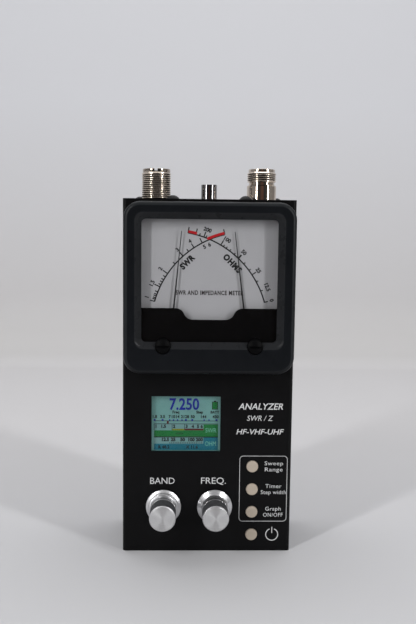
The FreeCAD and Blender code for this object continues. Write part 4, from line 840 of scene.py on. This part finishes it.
class Print:
    """Thin raised marks on a plane that faces the viewer: x to the right, z up."""

    def __init__(self, face, thick=FILM):
        self.made = bmesh.new()
        self.front = face - thick
        self.back = face + FILM_SINK

    def prism(self, loop):
        """A flat shape of any outline."""
        front = [self.made.verts.new(Vector((x, self.front, z)) * MM) for x, z in loop]
        back = [self.made.verts.new(Vector((x, self.back, z)) * MM) for x, z in loop]
        self.made.faces.new(front)
        self.made.faces.new(back[::-1])
        wrap(self.made, front, back)

    def bar(self, left, low, right, high):
        """A rectangle."""
        self.prism([(left, low), (right, low), (right, high), (left, high)])

    def ribbon(self, first, second, closed=False):
        """A strip between two lines of points."""
        columns = []
        for near, far in zip(first, second):
            columns.append([self.made.verts.new(Vector((x, depth, z)) * MM)
                            for depth in (self.front, self.back) for x, z in (near, far)])
        pairs = list(zip(columns, columns[1:]))
        if closed:
            pairs.append((columns[-1], columns[0]))
        for here, there in pairs:
            for one, two in ((0, 1), (1, 3), (3, 2), (2, 0)):
                self.made.faces.new([here[one], here[two], there[two], there[one]])
        if not closed:
            for end in (columns[0], columns[-1]):
                self.made.faces.new([end[0], end[1], end[3], end[2]])

    def arc(self, centre, inner, outer, start, stop):
        """A curved strip from one angle to another."""
        steps = max(2, round(abs(stop - start) / ARC_STEP))
        angles = [start + (stop - start) * step / steps for step in range(steps + 1)]
        self.ribbon([spot(centre, inner, angle) for angle in angles],
                    [spot(centre, outer, angle) for angle in angles])

    def tick(self, centre, inner, outer, angle, width):
        """A straight mark across an arc."""
        side = Vector((-math.sin(math.radians(angle)), math.cos(math.radians(angle))))
        near, far = Vector(spot(centre, inner, angle)), Vector(spot(centre, outer, angle))
        self.prism([near - side * width / 2, far - side * width / 2,
                    far + side * width / 2, near + side * width / 2])

    def words(self, text, x, z, cap, width=None, turn=0.0, **style):
        """Lettering whose capitals are centred on x and z."""
        mesh = lettering(text, **style)
        across = [corner.co.x for corner in mesh.vertices]
        span = max(across) - min(across)
        middle = (max(across) + min(across)) / 2
        tall = cap / CAPITAL
        wide = width / span if width else tall
        thick = (self.back - self.front) / 2
        fitted = Matrix(((wide, 0, 0, -middle * wide), (0, 0, -thick, 0),
                         (0, tall, 0, -cap / 2), (0, 0, 0, 1)))
        place = Matrix.Translation((x, (self.front + self.back) / 2, z))
        spin = Matrix.Rotation(math.radians(-turn), 4, "Y")
        mesh.transform(Matrix.Scale(MM, 4) @ place @ spin @ fitted)
        self.made.from_mesh(mesh)
        bpy.data.meshes.remove(mesh)

    def done(self, name, material):
        """The marks as one piece."""
        return as_object(name, closed_off(name, self.made), "case", material)


def lettering(text, slant=0.0, weight=0.0, gap=1.0):
    """Words in the plain built-in face at size one, two units thick about their plane."""
    curve = bpy.data.curves.new("words", "FONT")
    curve.body = text
    curve.size = 1.0
    curve.shear = slant
    curve.offset = weight
    curve.space_character = gap
    curve.extrude = 1.0
    curve.resolution_u = 3
    curve.fill_mode = "BOTH"
    return curve_mesh(curve)


capital = lettering("H")
CAPITAL = max(corner.co.y for corner in capital.vertices)
bpy.data.meshes.remove(capital)


# Front panel lettering, in plain generic words

SLANT = 0.22
KEY_WORDS_X, KEY_WORDS_CAP, KEY_WORDS_STEP = 35.9, 2.1, 1.7
FRAME_LEFT, FRAME_LOW, FRAME_RIGHT, FRAME_HIGH = 17.4, 16.4, 43.25, 52.8
FRAME_CORNER, FRAME_LINE = 2.0, 0.25
POWER, POWER_INNER, POWER_OUTER, POWER_GAP = (35.5, 9.1), 3.05, 3.5, 22
POWER_BAR_HALF, POWER_BAR_LOW, POWER_BAR_HIGH = 0.22, 0.8, 4.2


def frame_loop(inset):
    """The outline of the line round the buttons, or one inside it."""
    return rounded_rectangle(FRAME_LEFT + inset, FRAME_LOW + inset, FRAME_RIGHT - inset,
                             FRAME_HIGH - inset, FRAME_CORNER - inset)


panel = Print(CASE_FACE)
panel.words("BAND", -23.95, 38.95, 3.4, 13.1)
panel.words("FREQ.", 3.5, 39.05, 3.4, 13.4)
panel.words("ANALYZER", 28.25, 79.8, 3.3, 24.0, slant=SLANT, weight=0.01)
panel.words("SWR / Z", 28.05, 73.4, 2.8, 14.1, slant=SLANT)
panel.words("HF-VHF-UHF", 28.15, 66.0, 2.8, 25.5, slant=SLANT, weight=0.01)
for key_z, lines in ((47.0, (("Sweep", 10.0), ("Range", 9.6))),
                     (34.4, (("Timer", 8.8), ("Step width", 13.6))),
                     (21.8, (("Graph", 8.4), ("ON/OFF", 10.6)))):
    for (text, width), side in zip(lines, (1, -1)):
        panel.words(text, KEY_WORDS_X, key_z + side * KEY_WORDS_STEP, KEY_WORDS_CAP, width, gap=1.08)
panel.ribbon(frame_loop(0.0), frame_loop(FRAME_LINE), closed=True)
panel.arc(POWER, POWER_INNER, POWER_OUTER, 90 + POWER_GAP, 450 - POWER_GAP)
panel.bar(POWER[0] - POWER_BAR_HALF, POWER[1] + POWER_BAR_LOW,
          POWER[0] + POWER_BAR_HALF, POWER[1] + POWER_BAR_HIGH)
panel.done("panel_lettering", ink("ink_white", tone(206, 207, 208)))


# Meter scales: centres, radii and the angles of their ends; ticks as reach: angles

SWR_ARC, SWR_RADIUS, SWR_START, SWR_STOP = (19.5, 122.4), 49.8, 164.6, 103.6
OHMS_ARC, OHMS_RADIUS, OHMS_START, OHMS_STOP = (-19.55, 121.5), 50.65, 16.0, 80.6
LINE = 0.7
TICK, BOLD_TICK = 0.6, 0.85
TICK_TAIL = 0.35
NUMERAL, NUMERAL_WEIGHT = 1.9, 0.045
RED_INNER, RED_OUTER, RED_THICK = 0.1, 1.45, 0.03
SWR_TICKS = {51.0: (163.2, 162.3, 161.1, 160.1, 158.5, 138.7, 127.7), 52.0: (164.6, 123.7),
             50.9: (153.8, 152.0, 150.4, 148.4), 52.5: (146.0, 132.0), 52.7: (155.2,),
             52.2: (118.0,), 52.3: (103.6,)}
OHMS_TICKS = {51.5: (42.4, 37.5, 29.4, 23.3), 51.4: (58.2, 56.3, 53.7), 51.6: (73.7, 69.7),
              53.3: (80.6,), 53.5: (76.0,), 53.2: (71.0,), 53.1: (60.0,), 51.3: (50.4,),
              52.8: (34.3,), 52.1: (16.2,)}
SWR_NUMERALS = [("1", 163.4, 54.4), ("1.5", 155.2, 54.4), ("2", 146.0, 54.4),
                ("3", 132.0, 54.3), ("4", 123.7, 53.8), ("5", 117.9, 47.5),
                ("6", 114.5, 47.4)]
OHMS_NUMERALS = [("200", 70.4, 54.9), ("100", 58.3, 54.8), ("50", 47.0, 54.9),
                 ("25", 34.3, 54.7), ("12.5", 23.8, 54.7), ("0", 16.2, 54.6)]
marks = Print(DIAL_FACE)
marks.arc(SWR_ARC, SWR_RADIUS - LINE / 2, SWR_RADIUS + LINE / 2, SWR_START, SWR_STOP)
marks.arc(OHMS_ARC, OHMS_RADIUS - LINE / 2, OHMS_RADIUS + LINE / 2, OHMS_START, OHMS_STOP)
for arc, radius, ticks in ((SWR_ARC, SWR_RADIUS, SWR_TICKS), (OHMS_ARC, OHMS_RADIUS, OHMS_TICKS)):
    for reach, angles in ticks.items():
        for angle in angles:
            marks.tick(arc, radius, reach + TICK_TAIL, angle, TICK)
marks.tick(OHMS_ARC, OHMS_RADIUS, 53.1, 47.0, BOLD_TICK)
for arc, numerals in ((SWR_ARC, SWR_NUMERALS), (OHMS_ARC, OHMS_NUMERALS)):
    for text, angle, radius in numerals:
        marks.words(text, *spot(arc, radius, angle), NUMERAL, turn=angle - 90, weight=NUMERAL_WEIGHT)
marks.words("SWR", -11.6, 156.4, 2.9, 8.9, turn=45, weight=0.06, gap=1.15)
marks.words("OHMS", 12.0, 155.9, 2.9, 11.9, turn=-45, weight=0.06, gap=1.15)
marks.done("dial_scales", ink("ink_black", tone(14, 14, 16)))

small = Print(DIAL_FACE)
small.words("SWR AND IMPEDANCE METER", 0.3, 140.4, 2.2, 35.5, weight=0.03, gap=1.12)
small.done("dial_words", ink("ink_brown", tone(26, 12, 15)))

red = Print(DIAL_FACE, RED_THICK)
red.arc(SWR_ARC, SWR_RADIUS + RED_INNER, SWR_RADIUS + RED_OUTER, 114.3, SWR_STOP)
red.arc(OHMS_ARC, OHMS_RADIUS + RED_INNER, OHMS_RADIUS + RED_OUTER, OHMS_STOP, 75.5)
red.done("dial_red_bands", ink("ink_red", tone(176, 16, 26)))


# Display, measured from its top left corner in films of colour, each in front of the last

SCREEN_LEFT, SCREEN_TOP, SCREEN_WIDE, SCREEN_TALL = -29.9, 85.05, 36.7, 29.9
SCREEN_PAST = 1.0
EDGE, SPLIT, FAR = 1.25, 27.8, 35.6


def screen_bars(layer, *bars):
    """Blocks of the display's picture, each by its left, top, right and bottom."""
    for left, top, right, bottom in bars:
        layer.bar(SCREEN_LEFT + left, SCREEN_TOP - bottom, SCREEN_LEFT + right, SCREEN_TOP - top)


def screen_words(layer, text, across, down, cap, width=None, weight=0.0):
    """Words of the display's picture."""
    layer.words(text, SCREEN_LEFT + across, SCREEN_TOP - down, cap, width, weight=weight)


ground = Print(LCD_FACE)
screen_bars(ground, (-SCREEN_PAST, -SCREEN_PAST, SCREEN_WIDE + SCREEN_PAST, SCREEN_TALL + SCREEN_PAST))
ground.done("screen_ground", looks["lcd_glass"])

for name, colour, bars in (
        ("screen_green", tone(9, 91, 40), ((EDGE, 19.1, SPLIT, 22.45),
                                           (SPLIT, 15.8, FAR, 22.45), (32.4, 3.6, 35.2, 7.3))),
        ("screen_blue", tone(6, 85, 101), ((EDGE, 26.4, SPLIT, 29.8), (SPLIT, 22.9, FAR, 29.8))),
        ("screen_pale", tone(90, 124, 124), ((EDGE, 15.6, SPLIT, 18.1),
                                             (EDGE, 22.9, SPLIT, 26.3)))):
    field = Print(LCD_FACE - FILM)
    screen_bars(field, *bars)
    field.done(name, lit_screen(name, colour, 0.2))

INK_FACE = LCD_FACE - 2 * FILM
digits = Print(INK_FACE)
screen_words(digits, "7.250", 17.4, 4.7, 5.9, 15.9, 0.025)
for places, half, top, bottom in (((1.55, 5.8, 18.3, 21.7, 34.7), 0.5, 12.9, 13.8),
                                  ((9.6, 11.7, 13.8, 16.2, 28.1, 30.7), 0.35, 13.0, 13.7)):
    screen_bars(digits, *((across - half, top, across + half, bottom) for across in places))
digits.done("screen_digits", lit_screen("screen_ink_blue", tone(3, 16, 118), 0.15))

dark = Print(INK_FACE)
for down, cap, weight, words in (
        (9.05, 1.4, 0.045, (("Freq", 12.9), ("Step", 25.6))),
        (9.05, 1.3, 0.045, (("BATT", 33.8),)),
        (11.55, 1.5, 0.045, (("1.8", 1.7), ("3.5", 5.8), ("7", 9.6), ("10", 11.6), ("14", 13.9),
                             ("21", 16.5), ("28", 18.9), ("50", 21.9), ("144", 27.8),
                             ("430", 34.2))),
        (16.85, 1.6, 0.055, (("1", 2.3), ("1.5", 6.4), ("2", 12.0), ("3", 18.7), ("4", 22.0),
                             ("5", 24.8), ("6", 26.8))),
        (20.8, 0.95, 0.0, (("SWEEP", 15.0),)),
        (24.1, 1.7, 0.06, (("12.5", 7.4), ("25", 11.5), ("50", 16.6), ("100", 21.4),
                           ("200", 25.6))),
        (28.2, 1.6, 0.04, (("R 48.2", 6.6), ("X 11.6", 21.6)))):
    for text, across in words:
        screen_words(dark, text, across, down, cap, weight=weight)
screen_bars(dark, *((EDGE, top, FAR, top + tall)
                    for top, tall in ((13.7, 0.32), (15.35, 0.32), (22.45, 0.5))),
            *((across - 0.14, 15.6, across + 0.14, 18.9) for across in (1.3, 10.9, 17.6)),
            *((9.6 + number * 0.95, 25.5, 9.9 + number * 0.95, 26.3) for number in range(19)))
BATTERY_LEFT, BATTERY_RIGHT, BATTERY_TOP, BATTERY_LOW, BATTERY_LINE = 32.2, 35.4, 3.3, 7.6, 0.3
screen_bars(dark, (BATTERY_LEFT, 3.4, BATTERY_LEFT + BATTERY_LINE, 7.5),
            (BATTERY_RIGHT - BATTERY_LINE, 3.4, BATTERY_RIGHT, 7.5),
            (BATTERY_LEFT, BATTERY_LOW - BATTERY_LINE, BATTERY_RIGHT, BATTERY_LOW),
            (BATTERY_LEFT, BATTERY_TOP, BATTERY_RIGHT, BATTERY_TOP + BATTERY_LINE),
            (33.2, 2.8, 34.4, 3.4))
dark.done("screen_marks", lit_screen("screen_ink_dark", tone(6, 12, 14), 0.0))

for name, ink_name, colour, glow, bars in (
        ("screen_red", "screen_ink_red", tone(70, 3, 8), 0.05,
         ((17.7, 18.1, 27.75, 19.05), (8.1, 13.95, 9.1, 15.3))),
        ("screen_yellow", "screen_ink_yellow", tone(104, 112, 20), 0.1,
         ((11.0, 18.2, 17.5, 19.05),))):
    field = Print(INK_FACE)
    screen_bars(field, *bars)
    field.done(name, lit_screen(ink_name, colour, glow))

letters = Print(INK_FACE)
screen_words(letters, "SWR", 31.8, 19.0, 2.4, 5.9)
screen_words(letters, "OHM", 31.6, 26.3, 2.4, 5.9)
letters.done("screen_letters", lit_screen("screen_ink_pale", tone(92, 150, 132), 0.2))


# Floor, backdrop and light

def stage_sheet():
    """A pale paper sweep: the floor runs back and curves up into the backdrop, with painted shade low
    on the backdrop and on the near floor.
    """
    back, top, bend, near, half, steps = 0.62, 1.9, 0.09, -0.42, 2.2, 12
    floor_far, seam, shade_low, lit_top = 0.25, (0.001, 0.012), 0.04, 0.35
    profile = [(near, 0.0), (0.0, 0.0), (back - bend, 0.0)]
    for step in range(1, steps + 1):
        angle = math.pi / 2 * step / steps
        profile.append((back - bend + bend * math.sin(angle), bend - bend * math.cos(angle)))
    profile.append((back, top))

    def build(made):
        sides = [[made.verts.new((side * half, y, z)) for y, z in profile] for side in (-1, 1)]
        for left, right, next_left, next_right in zip(sides[0], sides[1], sides[0][1:], sides[1][1:]):
            made.faces.new([left, right, next_right, next_left])

    sheet = mesh_of("paper_sweep", build)
    sheet.shade_smooth()
    paint = plain("paper_white", tone(206, 206, 208), 0.85, shade=0.006, cloud=6.0,
                  Specular_IOR_Level=0.1)
    # Painted shade and light on the paper: the backdrop is darker just above the bend and lighter and
    # bluer high up; the floor is darker near the front
    rise = paint.along("Z")
    upper = paint.blend(paint.spread(rise, 0.0, 1.0, bend, lit_top), tone(204, 203, 204),
                        tone(214, 215, 219))
    wall = paint.blend(paint.spread(rise, 0.0, 1.0, shade_low, bend), tone(196, 195, 195), upper)
    floor = paint.blend(paint.spread(paint.along("Y"), 0.0, 1.0, 0.0, floor_far),
                        tone(200, 200, 202), tone(206, 205, 206))
    paint.feed("Base Color", paint.blend(paint.spread(rise, 0.0, 1.0, *seam), floor, wall))
    sheet.materials.append(paint.material)
    sweep = bpy.data.objects.new("paper_sweep", sheet)
    scene.collection.objects.link(sweep)


def lamp(name, place, aim, wide, tall, power):
    """A soft rectangular lamp that looks at a point."""
    light = bpy.data.lights.new(name, "AREA")
    light.shape = "RECTANGLE"
    light.size = wide
    light.size_y = tall
    light.energy = power
    holder = bpy.data.objects.new(name, light)
    holder.location = place
    holder.rotation_euler = (Vector(aim) - Vector(place)).to_track_quat("-Z", "Y").to_euler()
    scene.collection.objects.link(holder)


def studio_world():
    """Grey surroundings, darker below and in front, with a faint warm glow straight ahead."""
    glow, dark, dim, grey = ((0.006, (0.12, 0.07, 0.057, 1.0)), (0.018, (0.035, 0.037, 0.04, 1.0)),
                             (0.1, (0.06, 0.058, 0.056, 1.0)), (0.24, (0.29, 0.287, 0.292, 1.0)))
    world = bpy.data.worlds.new("studio")
    world.use_nodes = True
    tree = world.node_tree
    place = add_node(tree, "TexCoord").outputs["Generated"]
    split = add_node(tree, "SeparateXYZ", {"Vector": place}).outputs
    depth = add_node(tree, "MapRange", {"Value": split["Y"], "From Min": -1.0})
    ramp = add_node(tree, "ValToRGB", {"Fac": depth.outputs["Result"]})
    stops = ramp.color_ramp.elements
    stops.remove(stops[1])
    stops[0].position, stops[0].color = glow
    for position, colour in (dark, dim, grey):
        stops.new(position).color = colour
    height = add_node(tree, "MapRange", {"Value": split["Z"], "From Min": -0.2, "From Max": 0.4,
                                         "To Min": 0.45, "To Max": 1.35})
    shade = add_node(tree, "VectorMath", {0: ramp.outputs["Color"],
                                          "Scale": height.outputs["Result"]}, operation="SCALE")
    tree.links.new(shade.outputs["Vector"], tree.nodes["Background"].inputs["Color"])
    scene.world = world


stage_sheet()
studio_world()
AIM = (0.0, 0.0, 0.12)
lamp("strip_left", (-0.79, -0.85, 0.55), AIM, 0.09, 0.95, 7.8)
lamp("strip_right", (0.875, -0.77, 0.55), AIM, 0.09, 0.95, 7.8)
lamp("overhead", (0.0, 0.25, 1.5), (0.0, 0.35, 0.0), 1.6, 0.6, 5.9)
lamp("front_top", (0.0, -0.95, 0.95), AIM, 1.0, 0.35, 0.35)
lamp("backdrop_wash", (0.0, 0.25, 1.1), (0.0, 0.62, 0.6), 1.4, 0.3, 1.5)


# Camera, fitted to the photograph

def photo_camera():
    """The photograph's viewpoint: a 43 mm lens level with the meter, looking slightly down."""
    place = Matrix.Translation((-0.01188, -0.41093, 0.16937))
    yaw, pitch, roll = (math.radians(angle) for angle in (1.682, 5.757, 0.652))
    ahead = Vector((math.sin(yaw) * math.cos(pitch), math.cos(yaw) * math.cos(pitch), -math.sin(pitch)))
    level = Vector((math.cos(yaw), -math.sin(yaw), 0.0))
    above = level.cross(ahead)
    right = level * math.cos(roll) + above * math.sin(roll)
    up = above * math.cos(roll) - level * math.sin(roll)
    data = bpy.data.cameras.new("camera")
    data.lens = 42.81
    data.sensor_width = 36.0
    data.clip_start = 0.01
    camera = bpy.data.objects.new("camera", data)
    camera.matrix_world = place @ Matrix((right, up, -ahead)).transposed().to_4x4()
    scene.collection.objects.link(camera)
    scene.camera = camera


photo_camera()
scene.view_settings.view_transform = "Standard"
